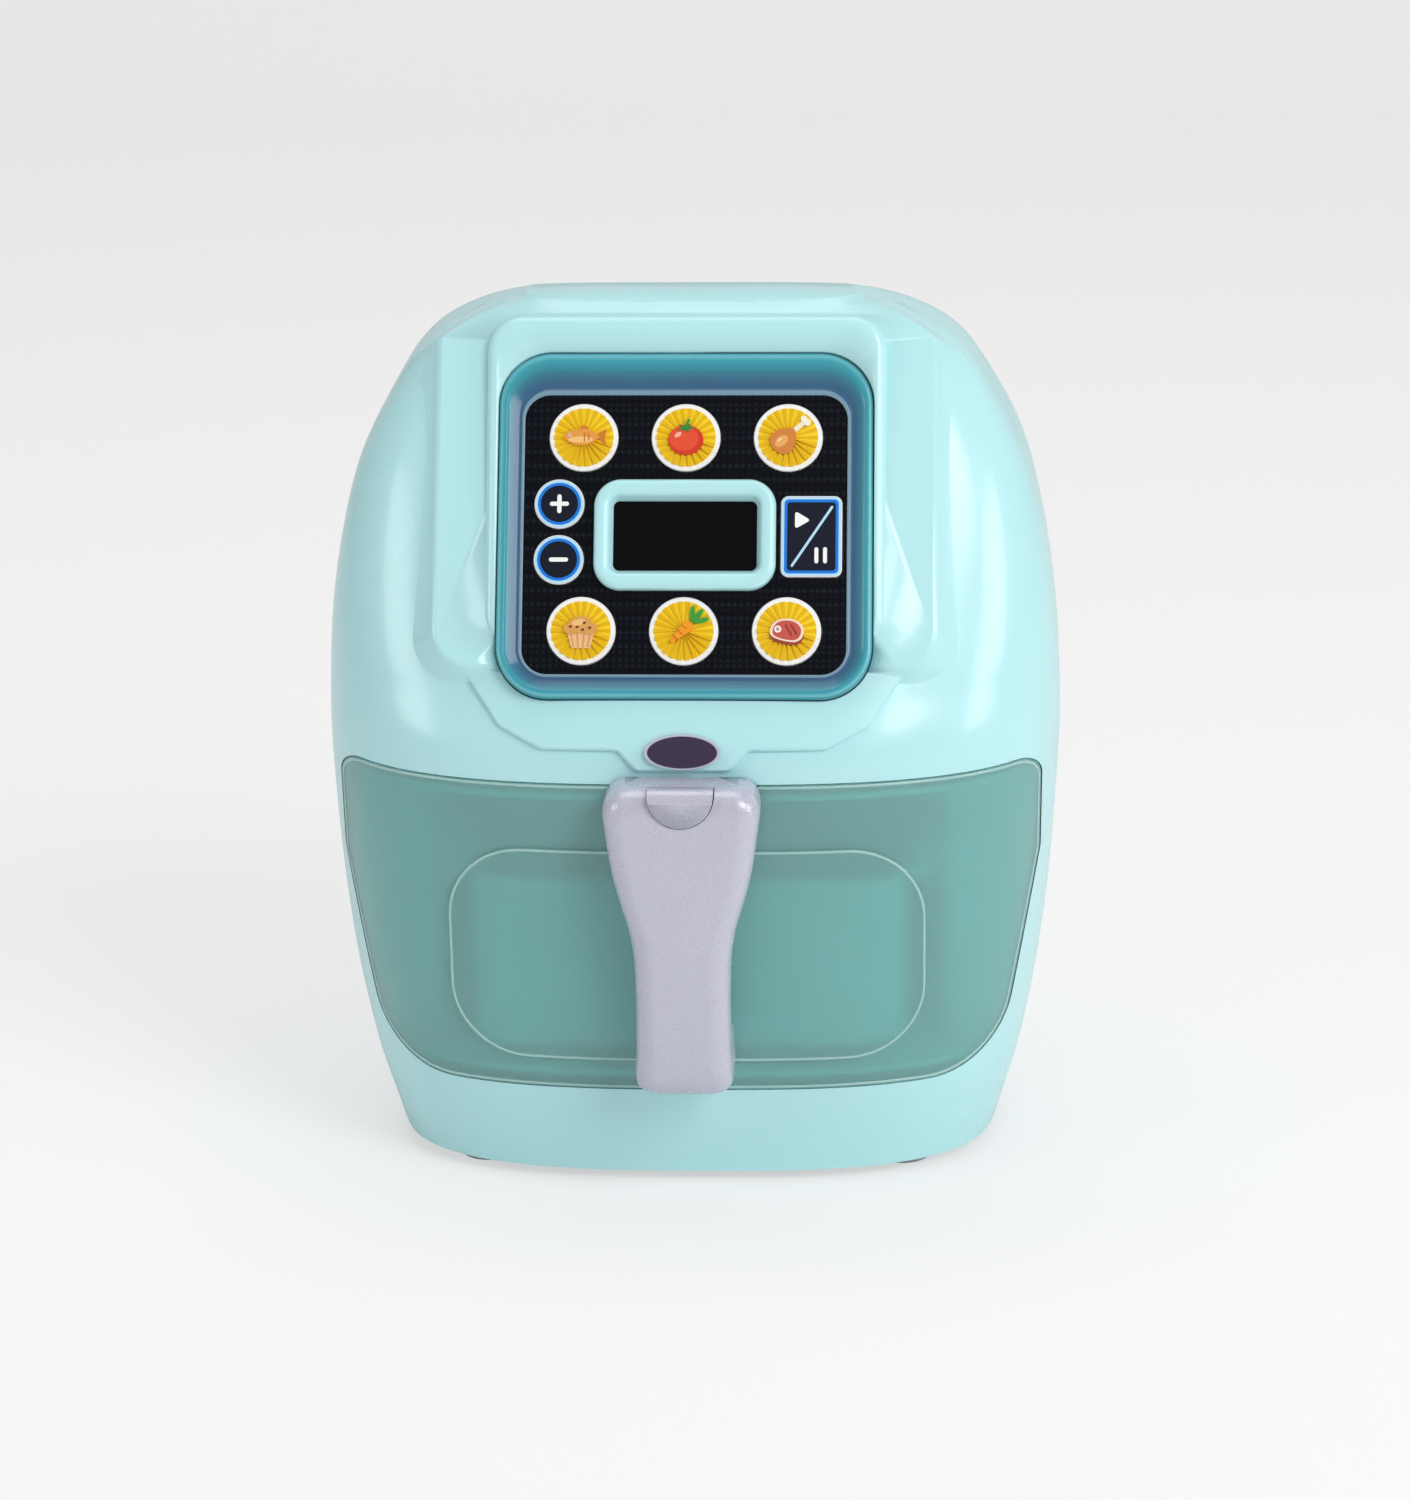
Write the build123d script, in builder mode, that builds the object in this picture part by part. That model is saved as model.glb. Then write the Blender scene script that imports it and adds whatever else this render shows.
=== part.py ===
from build123d import *
import math
import os

os.makedirs("parts", exist_ok=True)

# Driving dimensions, in mm: X to the right, -Y to the front, Z up from the standing surface

# The body, a rounded barrel
body_height = 227.0
foot_height = 3.0
half_width = 96.5
front_depth = 71.0
back_depth = 77.0
girth_y = 5.5
wall = 2.2
seam_y = 14.0
overrun = 2.0
seam_gap = 0.3
slip_gap = 0.3

# The console: a flat face that leans back, on a block with drafted sides
console_y = -42.5
console_drop = 57.0
console_lean = 26.0
hood_half_width = 64.0
hood_low = 31.5
hood_high = 68.0
hood_depth = 16.0
hood_draft = 37.0
hood_corner = 10.0
hood_edge = 2.2
hood_top_radius = 14.0
silhouette_inset = 0.5
brow_half_width = 51.0
brow_low = 27.0
brow_high = 59.4
brow_rise = 4.2
brow_tilt = 2.2
brow_corner = 9.0
brow_edge = 2.4
chin_rise = 1.7
chin_drop = 20.0
chin_half_width = 57.5
chin_shoulder_rise = 27.7
chin_cheek_half_width = 47.0
chin_cheek_rise = 13.7
chin_foot_half_width = 36.0
chin_foot_rise = 8.6
tab_half_width = 16.5
tab_low_half_width = 12.0
tab_rise = 3.6
chin_corner = 2.4
chin_edge = 1.2

# The window and its panel, in the console's own plane
bezel_half_width = 47.8
bezel_low = 39.9
bezel_high = 49.9
bezel_corner = 13.5
bezel_rise = 2.5
bezel_skirt = 3.2
bezel_seat = 3.0
bezel_flange = 1.9
bezel_edge = 1.2
window_half_width = 41.2
window_low = 33.6
window_high = 38.9
window_corner = 6.5
panel_thickness = 1.8
pocket_floor = 2.2
pocket_wall = 2.4
ledge_width = 4.6
badge_half_width = 9.7
badge_half_height = 4.25
badge_rise = 9.0
badge_thickness = 1.2

# The keys and the display
key_pitch = 26.1
key_row_high = 27.8
key_row_low = 22.4
food_key_radius = 8.8
step_key_radius = 6.4
step_key_x = 32.1
plus_key_s = 10.5
minus_key_s = 4.0
play_key_x = 32.2
play_key_s = 2.1
play_key_width = 15.6
play_key_height = 21.0
play_key_corner = 2.0
key_rise = 0.6
key_flange = 0.6
key_flange_thickness = 1.0
key_stem = 0.6
key_travel = 0.8
key_gap = 0.3
key_edge = 0.25
frame_width = 46.4
frame_height = 28.8
frame_corner = 7.0
frame_s = 2.4
frame_rise = 2.7
frame_bevel = 1.6
lens_width = 38.0
lens_height = 19.4
lens_corner = 2.2
lens_lip = 0.7
lens_thickness = 1.2
neck_wall = 1.4
membrane_thickness = 1.2
membrane_gap = 0.3
board_thickness = 1.6
board_margin = 1.5
ear_s = 14.0
ear_reach = 5.2
ear_width = 8.0
small_screw_radius = 0.9
small_head_radius = 1.9
small_head_height = 1.3
small_screw_length = 3.4
chip_radius = 6.0
chip_height = 2.2
chip_s = 12.0
led_width = 5.0
led_depth = 3.0
led_height = 1.0
led_pitch = 11.0
key_seat = 0.3

# The drawer
drawer_top = 113.3
drawer_low = 28.3
drawer_side_y = -14.0
drawer_corner = 22.0
drawer_top_corner = 7.0
mouth_half_width = 91.5
mouth_shoulder_half_width = 91.2
mouth_shoulder_z = 86.0
mouth_foot_half_width = 80.5
drawer_thickness = 2.5
emboss_half_width = 61.5
emboss_top = 95.6
emboss_corner = 20.0
emboss_rise = 0.6
emboss_low = 37.0
tub_half_width = 56.0
tub_front_y = -53.5
tub_back_y = 46.0
tub_low = 38.0
tub_top = 84.2
tub_wall = 2.0
tub_corner = 13.0
rim_width = 7.0
rim_thickness = 2.4
tray_thickness = 2.0
tray_stand = 8.0
stand_radius = 3.0
rim_front_y = -42.0
tray_gap = 0.6
slot_width = 3.0
slot_length = 40.0
slot_pitch = 9.0
slot_rows = 9
slot_column_pitch = 48.0
chamber_half_width = 68.3
chamber_low = 31.5
chamber_top = 110.0
chamber_back_y = 54.0
chamber_wall = 1.8
rail_back = 2.8
rail_leg = 2.2
rail_gap = 0.3
rail_front_y = -28.0
rail_rear_y = 50.0
rail_reach = 7.5
mouth_frame_y = -30.5
mouth_frame_thickness = 2.0
mouth_frame_margin = 3.0
leg_radius = 4.0
leg_x = 43.0
leg_front_y = -18.0
leg_back_y = 42.0
bracket_half_width = 10.5
bracket_low = 36.0
bracket_high = 107.5
handle_screw_high = 103.5
handle_screw_low = 44.0
handle_screw_length = 17.5

# The handle
handle_top = 115.6
handle_low = 33.5
handle_half_width = 20.0
handle_front_y = -82.5
handle_back_y = -58.0
handle_corner = 5.5
handle_dome = 5.0
handle_dome_corner_share = 0.6
handle_steps = 14
dome_turn_degrees = (0, 30, 50, 65, 78, 90)
parting_y = -75.1
finger_low = 48.0
finger_high = 95.0
finger_corner = 5.0
finger_front_y = -72.6
button_half_width = 8.3
button_low = 106.6
button_front_y = -81.5
button_top_rise = 0.5
button_edge = 3.2
button_flange = 1.7
button_flange_top = 113.2
button_flange_thickness = 1.1
release_spring_radius = 2.4
release_spring_wire = 0.8
spring_bore = 2.7
spring_bore_depth = 2.4
spring_seat_depth = 5.0
spring_end_gap = 0.1
button_travel = 2.0
button_gap = 0.3

# Base, feet, battery bay
base_thickness = 3.6
foot_radius = 7.5
foot_sink = 1.2
foot_inset = 24.9
foot_front_y = -30.0
foot_back_y = 44.0
cell_radius = 7.1
cell_length = 49.2
cell_edge = 0.6
cell_nub_radius = 2.7
cell_nub_length = 1.2
cell_pitch = 14.8
cell_count = 3
bay_wall = 2.0
bay_half_length = 28.4
bay_y = 8.0
bay_gap = 0.4
door_thickness = 2.4
door_margin = 3.0
door_tab_radius = 5.2
door_tab_reach = 2.0
hinge_pin_radius = 0.9
hinge_pin_length = 3.0
hinge_clearance = 0.05
door_boss_height = 7.0
door_screw_length = 4.0
door_screw_clearance = 0.5
door_head_radius = 2.5
door_head_height = 1.3
contact_thickness = 0.4
contact_height = 10.0
contact_width = 9.0
spring_radius = 3.4
spring_wire = 0.6

# Fasteners
screw_radius = 1.2
screw_head_radius = 2.8
screw_head_height = 1.8
pilot_radius = 1.25
boss_radius = 4.0
well_radius = 3.6
well_wall = 1.6
screw_length = 9.0
web_thickness = 3.0
base_boss_inset = 9.9
base_boss_front_y = -8.0
base_boss_back_y = 30.0
base_boss_height = 12.0
rib_thickness = 2.0
head_clearance = 0.3
shank_clearance = 0.4
upper_post_inset = 7.0
upper_post_rise = 6.0
lower_post_x = 58.0
lower_post_z = 20.0

# The speaker behind the rear wall
speaker_z = 118.0
speaker_radius = 18.0
speaker_lip = 2.0
speaker_flange_thickness = 1.2
speaker_flange_y = 76.0
speaker_ring_thickness = 1.4
speaker_tube_wall = 1.6
basket_depth = 8.0
basket_radius = 9.0
magnet_radius = 10.0
magnet_depth = 5.0
cone_depth = 5.5
cone_thickness = 0.5
grille_hole_radius = 1.2
grille_ring_pitch = 4.2
grille_rings = 3

# The on/off switch under the base
switch_y = -36.0
switch_travel = 4.0
knob_length = 4.0
knob_width = 3.4
knob_drop = 1.6
knob_flange = 1.5
knob_flange_thickness = 1.2
knob_grip_pitch = 1.2
knob_grip_depth = 0.4
switch_length = 16.0
switch_width = 10.0
switch_height = 6.0
switch_gap = 0.3

# The wires
wire_radius = 0.6
wire_pitch = 2.0
wire_wall_gap = 9.5
wire_climb_y = 6.0
wire_low_z = 30.0
wire_high_drop = 2.0
wire_turn_x = 55.0
wire_turn_drop = 38.0
wire_board_x = 30.0
wire_board_s = 24.0

# Height, half width, front depth and back depth of each level of the barrel as
# shares of its own sizes, and the power that squares its corners
level_shares = [
    (0.000, 0.828, 0.800, 0.820, 2.9),
    (0.120, 0.907, 0.905, 0.910, 2.9),
    (0.255, 0.960, 0.965, 0.965, 2.9),
    (0.388, 0.988, 0.993, 0.993, 2.9),
    (0.509, 1.000, 1.000, 1.000, 2.9),
    (0.589, 0.994, 0.900, 0.985, 3.1),
    (0.656, 0.980, 0.790, 0.950, 3.4),
    (0.790, 0.918, 0.600, 0.820, 3.8),
    (0.902, 0.793, 0.445, 0.610, 4.0),
    (0.951, 0.706, 0.355, 0.420, 4.0),
    (0.982, 0.570, 0.285, 0.290, 4.0),
    (1.000, 0.450, 0.220, 0.090, 4.0),
]
section_steps = 24
level_steps = 28
crown_shares = (0.982, 0.993, 1.0)


def leaning(origin, lean):
    """A plane that faces the front and leans back by an angle."""
    turn = math.radians(lean)
    return Plane(origin=origin, x_dir=(1, 0, 0), z_dir=(0, -math.cos(turn), math.sin(turn)))


# Heights that follow the top of the body or the drawer
console_z = body_height - console_drop
console = leaning((0, console_y, console_z), console_lean)
brow_plane = leaning(console.from_local_coords((0, brow_high, brow_rise)), console_lean - brow_tilt)
upper_post_z = console_z + upper_post_rise
upper_post_x = hood_half_width - upper_post_inset
badge_z = drawer_top + badge_rise


def level_height(share):
    return foot_height + share * (body_height - foot_height)


def row_slopes(shares, sizes):
    """Slopes of a smooth curve through the rows that never overshoots them."""
    rises = [
        (after - before) / (high - low)
        for low, high, before, after in zip(shares, shares[1:], sizes, sizes[1:])
    ]
    inner = [2 * a * b / (a + b) if a * b > 0 else 0.0 for a, b in zip(rises, rises[1:])]
    return [rises[0]] + inner + [rises[-1]]


def row_at(rows, share):
    """The sizes that a table of rows has at a share of its height, on a smooth curve."""
    share = min(max(share, 0.0), 1.0)
    shares = [row[0] for row in rows]
    below = max(index for index, low in enumerate(shares[:-1]) if low <= share)
    step = shares[below + 1] - shares[below]
    part_way = (share - shares[below]) / step
    rest = 1 - part_way
    level = []
    for column_index in range(1, len(rows[0])):
        sizes = [row[column_index] for row in rows]
        slopes = row_slopes(shares, sizes)
        level.append(
            sizes[below] * (1 + 2 * part_way) * rest**2
            + sizes[below + 1] * (1 + 2 * rest) * part_way**2
            + step * slopes[below] * part_way * rest**2
            - step * slopes[below + 1] * rest * part_way**2
        )
    return level


def level_at(z):
    """The barrel's half width, depths and power at a height."""
    return row_at(level_shares, (z - foot_height) / (body_height - foot_height))


def wall_y(x, z, front):
    """Where the barrel's outer surface lies at a given width and height."""
    wide, fore, aft, power = level_at(z)
    share = (1 - min(abs(x) / (wide * half_width), 1) ** power) ** (1 / power)
    return girth_y - share * fore * front_depth if front else girth_y + share * aft * back_depth


def section_points(wide, fore, aft, power, grow):
    """Points round one level of the barrel, from the middle of its back."""
    points = []
    for step in range(section_steps):
        turn = math.pi / 2 + 2 * math.pi * step / section_steps
        x = math.copysign(abs(math.cos(turn)) ** (2 / power), math.cos(turn))
        y = math.copysign(abs(math.sin(turn)) ** (2 / power), math.sin(turn))
        depth = aft * back_depth if y > 0 else fore * front_depth
        points.append(Vector(x * (wide * half_width + grow), girth_y + y * (depth + grow)))
    return points


def section_lengths():
    """How far along the girth each of a level's points lies, as shares of it."""
    points = section_points(*level_at(body_height / 2), 0)
    travelled = [0.0]
    for here, there in zip(points, points[1:] + points[:1]):
        travelled.append(travelled[-1] + (there - here).length)
    return [length / travelled[-1] for length in travelled]


def level_loop(z, grow):
    """One closed level of the barrel, as an edge in its sketch."""
    return Edge.make_spline(
        section_points(*level_at(z), grow), periodic=True, parameters=section_lengths()
    )


def barrel(grow, open_below=False):
    """The solid barrel, grown or shrunk all round by one distance."""
    shares = [step / level_steps for step in range(level_steps)] + list(crown_shares)
    with BuildPart() as solid:
        for share in shares:
            height = level_height(share)
            if share == shares[-1]:
                height = height + grow
            if share == shares[0] and open_below:
                height = height - overrun
            with BuildSketch(Plane.XY.offset(height)):
                with BuildLine():
                    add(level_loop(level_height(share), grow))
                make_face()
        loft()
    return solid.part


def upright_prism(points, corner, near_y, far_y):
    """A prism along Y whose outline is seen from the front, with rounded corners."""
    with BuildPart() as prism:
        with BuildSketch(Plane((0, near_y, 0), x_dir=(1, 0, 0), z_dir=(0, -1, 0))) as outline:
            with BuildLine():
                Polyline(*points, close=True)
            make_face()
            if corner > 0:
                fillet(outline.vertices(), corner)
        extrude(amount=near_y - far_y)
    return prism.part


def slab(low, high):
    """A plain block between two opposite corners, for keeping or cutting a region."""
    with BuildPart() as block:
        with BuildSketch(Plane.XY.offset(low[2])):
            with Locations(((low[0] + high[0]) / 2, (low[1] + high[1]) / 2)):
                Rectangle(high[0] - low[0], high[1] - low[1])
        extrude(amount=high[2] - low[2])
    return block.part


def console_pad(half_across, low, high, corner, back, front):
    """A pad with an outline in the console's plane, between two offsets from it."""
    with BuildPart() as pad:
        with BuildSketch(console.offset(back)):
            with Locations((0, (high - low) / 2)):
                RectangleRounded(2 * half_across, high + low, corner)
        extrude(amount=front - back)
    return pad.part


def round_pad(x, s, radius, back, front):
    with BuildPart() as pad:
        with BuildSketch(console.offset(back)):
            with Locations((x, s)):
                Circle(radius)
        extrude(amount=front - back)
    return pad.part


def square_pad(x, s, width, height, corner, back, front):
    with BuildPart() as pad:
        with BuildSketch(console.offset(back)):
            with Locations((x, s)):
                RectangleRounded(width, height, corner)
        extrude(amount=front - back)
    return pad.part


def front_silhouette(inset):
    """The barrel's outline as seen from the front, run from front to back."""
    shares = [step / level_steps for step in range(level_steps + 1)]
    right = [
        (level_at(level_height(share))[0] * half_width - inset, level_height(share))
        for share in shares
    ]
    left = [(-x, z) for x, z in right]
    top = body_height - inset + silhouette_inset
    with BuildPart() as prism:
        with BuildSketch(Plane.XZ):
            with BuildLine():
                Spline(*right)
                Line(right[-1], left[-1])
                Spline(*left)
                Line(left[0], right[0])
            make_face()
        extrude(amount=body_height, both=True)
    return prism.part & slab((-body_height, -body_height, 0), (body_height, body_height, top))


def hood_block(shrink):
    """The console's block, with sides that draft outwards as they go back."""
    with BuildPart() as block:
        with BuildSketch(console.offset(-shrink)):
            with Locations((0, (hood_high - hood_low) / 2)):
                RectangleRounded(
                    2 * (hood_half_width - shrink),
                    hood_high + hood_low - 2 * shrink,
                    hood_corner - shrink,
                )
        extrude(amount=-(hood_depth - shrink), taper=-hood_draft)
        if shrink == 0:
            fillet(block.faces().sort_by(Axis(console.origin, console.z_dir))[-1].edges(), hood_edge)
    return block.part


def hood_profile(inset):
    """The hood's side view, with a round edge between its face and its flat top."""
    top = body_height - silhouette_inset - inset
    face_shift = inset / math.cos(math.radians(console_lean))
    with BuildPart() as prism:
        with BuildSketch(Plane.YZ.offset(-half_width)) as side_view:
            with BuildLine():
                Polyline(
                    (hood_y(top) + face_shift, top),
                    (hood_y(0) + face_shift, 0),
                    (back_depth, 0),
                    (back_depth, top),
                    close=True,
                )
            make_face()
            front_corner = side_view.vertices().group_by(Axis.Y)[-1].sort_by(Axis.X)[0]
            fillet(front_corner, hood_top_radius - inset)
        extrude(amount=2 * half_width)
    return prism.part


def brow_block():
    """The arch over and beside the window, highest at its top."""
    arch_height = brow_high + brow_low
    with BuildPart() as block:
        with BuildSketch(brow_plane):
            with Locations((0, -arch_height / 2)):
                RectangleRounded(2 * brow_half_width, arch_height, brow_corner)
        extrude(amount=-2 * brow_rise)
        fillet(block.faces().sort_by(Axis(brow_plane.origin, brow_plane.z_dir))[-1].edges(), brow_edge)
    return block.part


def chin_outline():
    right = [
        (chin_half_width, console_z - chin_drop),
        (chin_half_width, drawer_top + chin_shoulder_rise),
        (chin_cheek_half_width, drawer_top + chin_cheek_rise),
        (chin_foot_half_width, drawer_top + chin_foot_rise),
        (tab_half_width, drawer_top + chin_foot_rise),
        (tab_low_half_width, drawer_top + tab_rise),
    ]
    return right + [(-x, z) for x, z in reversed(right)]


def drawer_prism(inset, low_y, high_y):
    """The outline of the drawer's mouth, seen from the front, run along Y."""
    right = [
        (mouth_half_width, drawer_top),
        (mouth_shoulder_half_width, mouth_shoulder_z),
        (mouth_foot_half_width, drawer_low),
    ]
    with BuildPart() as prism:
        with BuildSketch(Plane((0, high_y, 0), x_dir=(1, 0, 0), z_dir=(0, -1, 0))) as outline:
            with BuildLine():
                Polyline(*right, *[(-x, z) for x, z in reversed(right)], close=True)
            make_face()
            fillet(outline.vertices().group_by(Axis.Y)[0], drawer_corner)
            fillet(outline.vertices().group_by(Axis.Y)[-1], drawer_top_corner)
            if inset > 0:
                offset(amount=-inset, kind=Kind.INTERSECTION)
        extrude(amount=high_y - low_y)
    return prism.part


def post(x, z, radius, low_y, high_y):
    """A round post or hole along Y."""
    with BuildPart() as round_post:
        with BuildSketch(Plane((0, high_y, 0), x_dir=(1, 0, 0), z_dir=(0, -1, 0))):
            with Locations((x, z)):
                Circle(radius)
        extrude(amount=high_y - low_y)
    return round_post.part


def column(x, y, radius, low, high):
    """A round column or hole along Z."""
    with BuildPart() as round_column:
        with BuildSketch(Plane.XY.offset(low)):
            with Locations((x, y)):
                Circle(radius)
        extrude(amount=high - low)
    return round_column.part


def hood_y(z):
    """Where the console's face lies at a height."""
    return console_y + (z - console_z) * math.tan(math.radians(console_lean))


def keep(piece, name):
    piece.label = name
    export_step(piece, f"parts/{name}.step")


# The forms that the shells, the drawer and the panel share
outer_barrel = barrel(0.0)
inner_barrel = barrel(-wall, open_below=True)
drawer_inner_barrel = barrel(-drawer_thickness, open_below=True)
chin = barrel(chin_rise) & upright_prism(chin_outline(), chin_corner, girth_y, -half_width)
chin_face = chin.faces().filter_by(GeomType.BSPLINE).sort_by(SortBy.AREA)[-1]
chin = fillet(chin_face.edges(), chin_edge)
hood = hood_block(0.0) & front_silhouette(silhouette_inset) & hood_profile(0.0)
hood_hollow = hood_block(wall) & front_silhouette(silhouette_inset + wall) & hood_profile(wall)
outer_form = outer_barrel + hood + chin + brow_block()
pocket_tub = console_pad(
    bezel_half_width + pocket_wall,
    bezel_low + pocket_wall,
    bezel_high + pocket_wall,
    bezel_corner + pocket_wall,
    -bezel_seat - pocket_floor,
    bezel_rise,
)
inner_form = (inner_barrel + hood_hollow) - pocket_tub
shell = outer_form - inner_form
shell = shell - console_pad(
    bezel_half_width + slip_gap,
    bezel_low + slip_gap,
    bezel_high + slip_gap,
    bezel_corner + slip_gap,
    -bezel_seat,
    body_height,
)
shell = shell - console_pad(
    bezel_half_width - ledge_width,
    bezel_low - ledge_width,
    bezel_high - ledge_width,
    bezel_corner - ledge_width,
    -bezel_seat - pocket_floor - overrun,
    0,
)

# Places that the shells, the base and the screws share
base_top = foot_height + base_thickness
front_side = slab((-2 * half_width, -2 * half_width, 0), (2 * half_width, seam_y, 2 * body_height))
rear_side = slab(
    (-2 * half_width, seam_y + seam_gap, 0), (2 * half_width, 2 * half_width, 2 * body_height)
)
mirror_signs = (-1, 1)
panel_front = bezel_rise - bezel_flange
panel_back = panel_front - panel_thickness
key_flange_front = panel_back - key_seat
key_flange_back = key_flange_front - key_flange_thickness
stem_back = key_flange_back - key_stem
membrane_front = stem_back - key_travel - membrane_gap
board_front = membrane_front - membrane_thickness
board_back = board_front - board_thickness
ear_x = bezel_half_width - ledge_width + boss_radius
base_half_width = level_at(foot_height)[0] * half_width
foot_x = base_half_width - foot_inset
base_boss_x = base_half_width - base_boss_inset


def wall_boss(x, y):
    """A screw boss on the base, tied to the side wall by a rib."""
    side = math.copysign(1, x)
    rib_end = side * half_width
    with BuildPart() as boss:
        add(
            slab(
                (min(x, rib_end), y - rib_thickness / 2, base_top + slip_gap),
                (max(x, rib_end), y + rib_thickness / 2, base_top + base_boss_height),
            )
            & barrel(-wall / 2)
        )
        add(column(x, y, boss_radius, base_top, base_top + base_boss_height))
        add(
            column(x, y, pilot_radius, base_top - overrun, base_top + base_boss_height - wall),
            mode=Mode.SUBTRACT,
        )
    return boss.part


housing_screw_places = [(upper_post_x, upper_post_z), (lower_post_x, lower_post_z)]
with BuildPart() as front_housing:
    add(shell)
    add(front_side, mode=Mode.INTERSECT)
    add(drawer_prism(0, -2 * half_width, drawer_side_y), mode=Mode.SUBTRACT)
    for side in mirror_signs:
        upper_post_front = hood_y(upper_post_z) + wall / 2
        add(
            post(side * upper_post_x, upper_post_z, boss_radius, upper_post_front, seam_y)
            & outer_form
        )
        lower_post_front = wall_y(lower_post_x, lower_post_z, True) + wall / 2
        add(
            post(side * lower_post_x, lower_post_z, boss_radius, lower_post_front, seam_y)
            & outer_barrel
        )
        add(wall_boss(side * base_boss_x, base_boss_front_y))
        for x, z in housing_screw_places:
            add(
                post(side * x, z, pilot_radius, seam_y - screw_length - overrun, seam_y + overrun),
                mode=Mode.SUBTRACT,
            )
        for s in (-ear_s, ear_s):
            add(
                round_pad(
                    side * ear_x,
                    s,
                    small_screw_radius + hinge_clearance,
                    -bezel_seat - pocket_floor - overrun,
                    board_back + small_screw_length + hinge_clearance,
                ),
                mode=Mode.SUBTRACT,
            )
keep(front_housing.part, "front_housing")


def grille_places():
    places = [(0.0, 0.0)]
    for ring in range(1, grille_rings + 1):
        count = 6 * ring
        for step in range(count):
            turn = 2 * math.pi * step / count
            reach = ring * grille_ring_pitch
            places.append((reach * math.cos(turn), reach * math.sin(turn)))
    return places


seat_y = speaker_flange_y + speaker_flange_thickness
web_y = seam_y + seam_gap + web_thickness
with BuildPart() as rear_housing:
    add(outer_barrel)
    add(inner_barrel, mode=Mode.SUBTRACT)
    add(rear_side, mode=Mode.INTERSECT)
    for side in mirror_signs:
        for x, z in housing_screw_places:
            rear_y = wall_y(x, z, False)
            well = post(side * x, z, well_radius + well_wall, seam_y + seam_gap, rear_y - wall / 2)
            add(well & outer_barrel)
            add(post(side * x, z, well_radius, web_y, rear_y + boss_radius), mode=Mode.SUBTRACT)
            add(post(side * x, z, screw_radius + shank_clearance, seam_y, rear_y), mode=Mode.SUBTRACT)
        add(wall_boss(side * base_boss_x, base_boss_back_y))
    tube = post(
        0,
        speaker_z,
        speaker_radius + slip_gap + speaker_tube_wall,
        speaker_flange_y - speaker_ring_thickness,
        2 * back_depth,
    )
    bore = post(0, speaker_z, speaker_radius + slip_gap, 0, seat_y)
    mouth = post(0, speaker_z, speaker_radius - speaker_lip, 0, 2 * back_depth)
    add((tube - bore - mouth) & barrel(-wall / 2))
    with BuildSketch(Plane((0, seat_y, speaker_z), x_dir=(1, 0, 0), z_dir=(0, 1, 0))):
        with Locations(*grille_places()):
            Circle(grille_hole_radius)
    extrude(amount=back_depth, mode=Mode.SUBTRACT)
keep(rear_housing.part, "rear_housing")

with BuildPart() as window_bezel:
    add(
        console_pad(bezel_half_width, bezel_low, bezel_high, bezel_corner, -bezel_seat, bezel_rise)
    )
    fillet(
        window_bezel.faces().sort_by(Axis(console.origin, console.z_dir))[-1].edges(), bezel_edge
    )
    add(
        console_pad(
            bezel_half_width - bezel_skirt,
            bezel_low - bezel_skirt,
            bezel_high - bezel_skirt,
            bezel_corner - bezel_skirt,
            -bezel_seat - overrun,
            panel_front,
        ),
        mode=Mode.SUBTRACT,
    )
    add(
        console_pad(
            window_half_width, window_low, window_high, window_corner, 0, bezel_rise + overrun
        ),
        mode=Mode.SUBTRACT,
    )
keep(window_bezel.part, "window_bezel")

food_key_places = {
    f"key_{row}_{place}": (column_index * key_pitch, s)
    for row, s in (("top", key_row_high), ("bottom", -key_row_low))
    for column_index, place in ((-1, "left"), (0, "middle"), (1, "right"))
}
step_key_places = {"plus_key": (-step_key_x, plus_key_s), "minus_key": (-step_key_x, -minus_key_s)}


with BuildPart() as control_panel:
    add(
        console_pad(
            bezel_half_width - bezel_skirt - slip_gap,
            bezel_low - bezel_skirt - slip_gap,
            bezel_high - bezel_skirt - slip_gap,
            bezel_corner - bezel_skirt - slip_gap,
            panel_back,
            panel_front,
        )
    )
    for places, radius in ((food_key_places, food_key_radius), (step_key_places, step_key_radius)):
        for x, s in places.values():
            add(
                round_pad(x, s, radius + key_gap, panel_back - overrun, panel_front + overrun),
                mode=Mode.SUBTRACT,
            )
    add(
        square_pad(
            play_key_x,
            play_key_s,
            play_key_width + 2 * key_gap,
            play_key_height + 2 * key_gap,
            play_key_corner + key_gap,
            panel_back - overrun,
            panel_front + overrun,
        ),
        mode=Mode.SUBTRACT,
    )
    neck_width = lens_width + 2 * (neck_wall + slip_gap)
    neck_height = lens_height + 2 * (neck_wall + slip_gap)
    add(
        square_pad(
            0,
            frame_s,
            neck_width,
            neck_height,
            lens_corner + neck_wall,
            panel_back - overrun,
            panel_front + overrun,
        ),
        mode=Mode.SUBTRACT,
    )
keep(control_panel.part, "control_panel")


def round_key(name, x, s, radius):
    with BuildPart() as key:
        add(round_pad(x, s, radius, key_flange_back, panel_front + key_rise))
        fillet(key.faces().sort_by(Axis(console.origin, console.z_dir))[-1].edges(), key_edge)
        add(round_pad(x, s, radius + key_flange, key_flange_back, key_flange_front))
        add(round_pad(x, s, radius / 2, stem_back, key_flange_back))
    keep(key.part, name)


for name, (x, s) in food_key_places.items():
    round_key(name, x, s, food_key_radius)
for name, (x, s) in step_key_places.items():
    round_key(name, x, s, step_key_radius)

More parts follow.
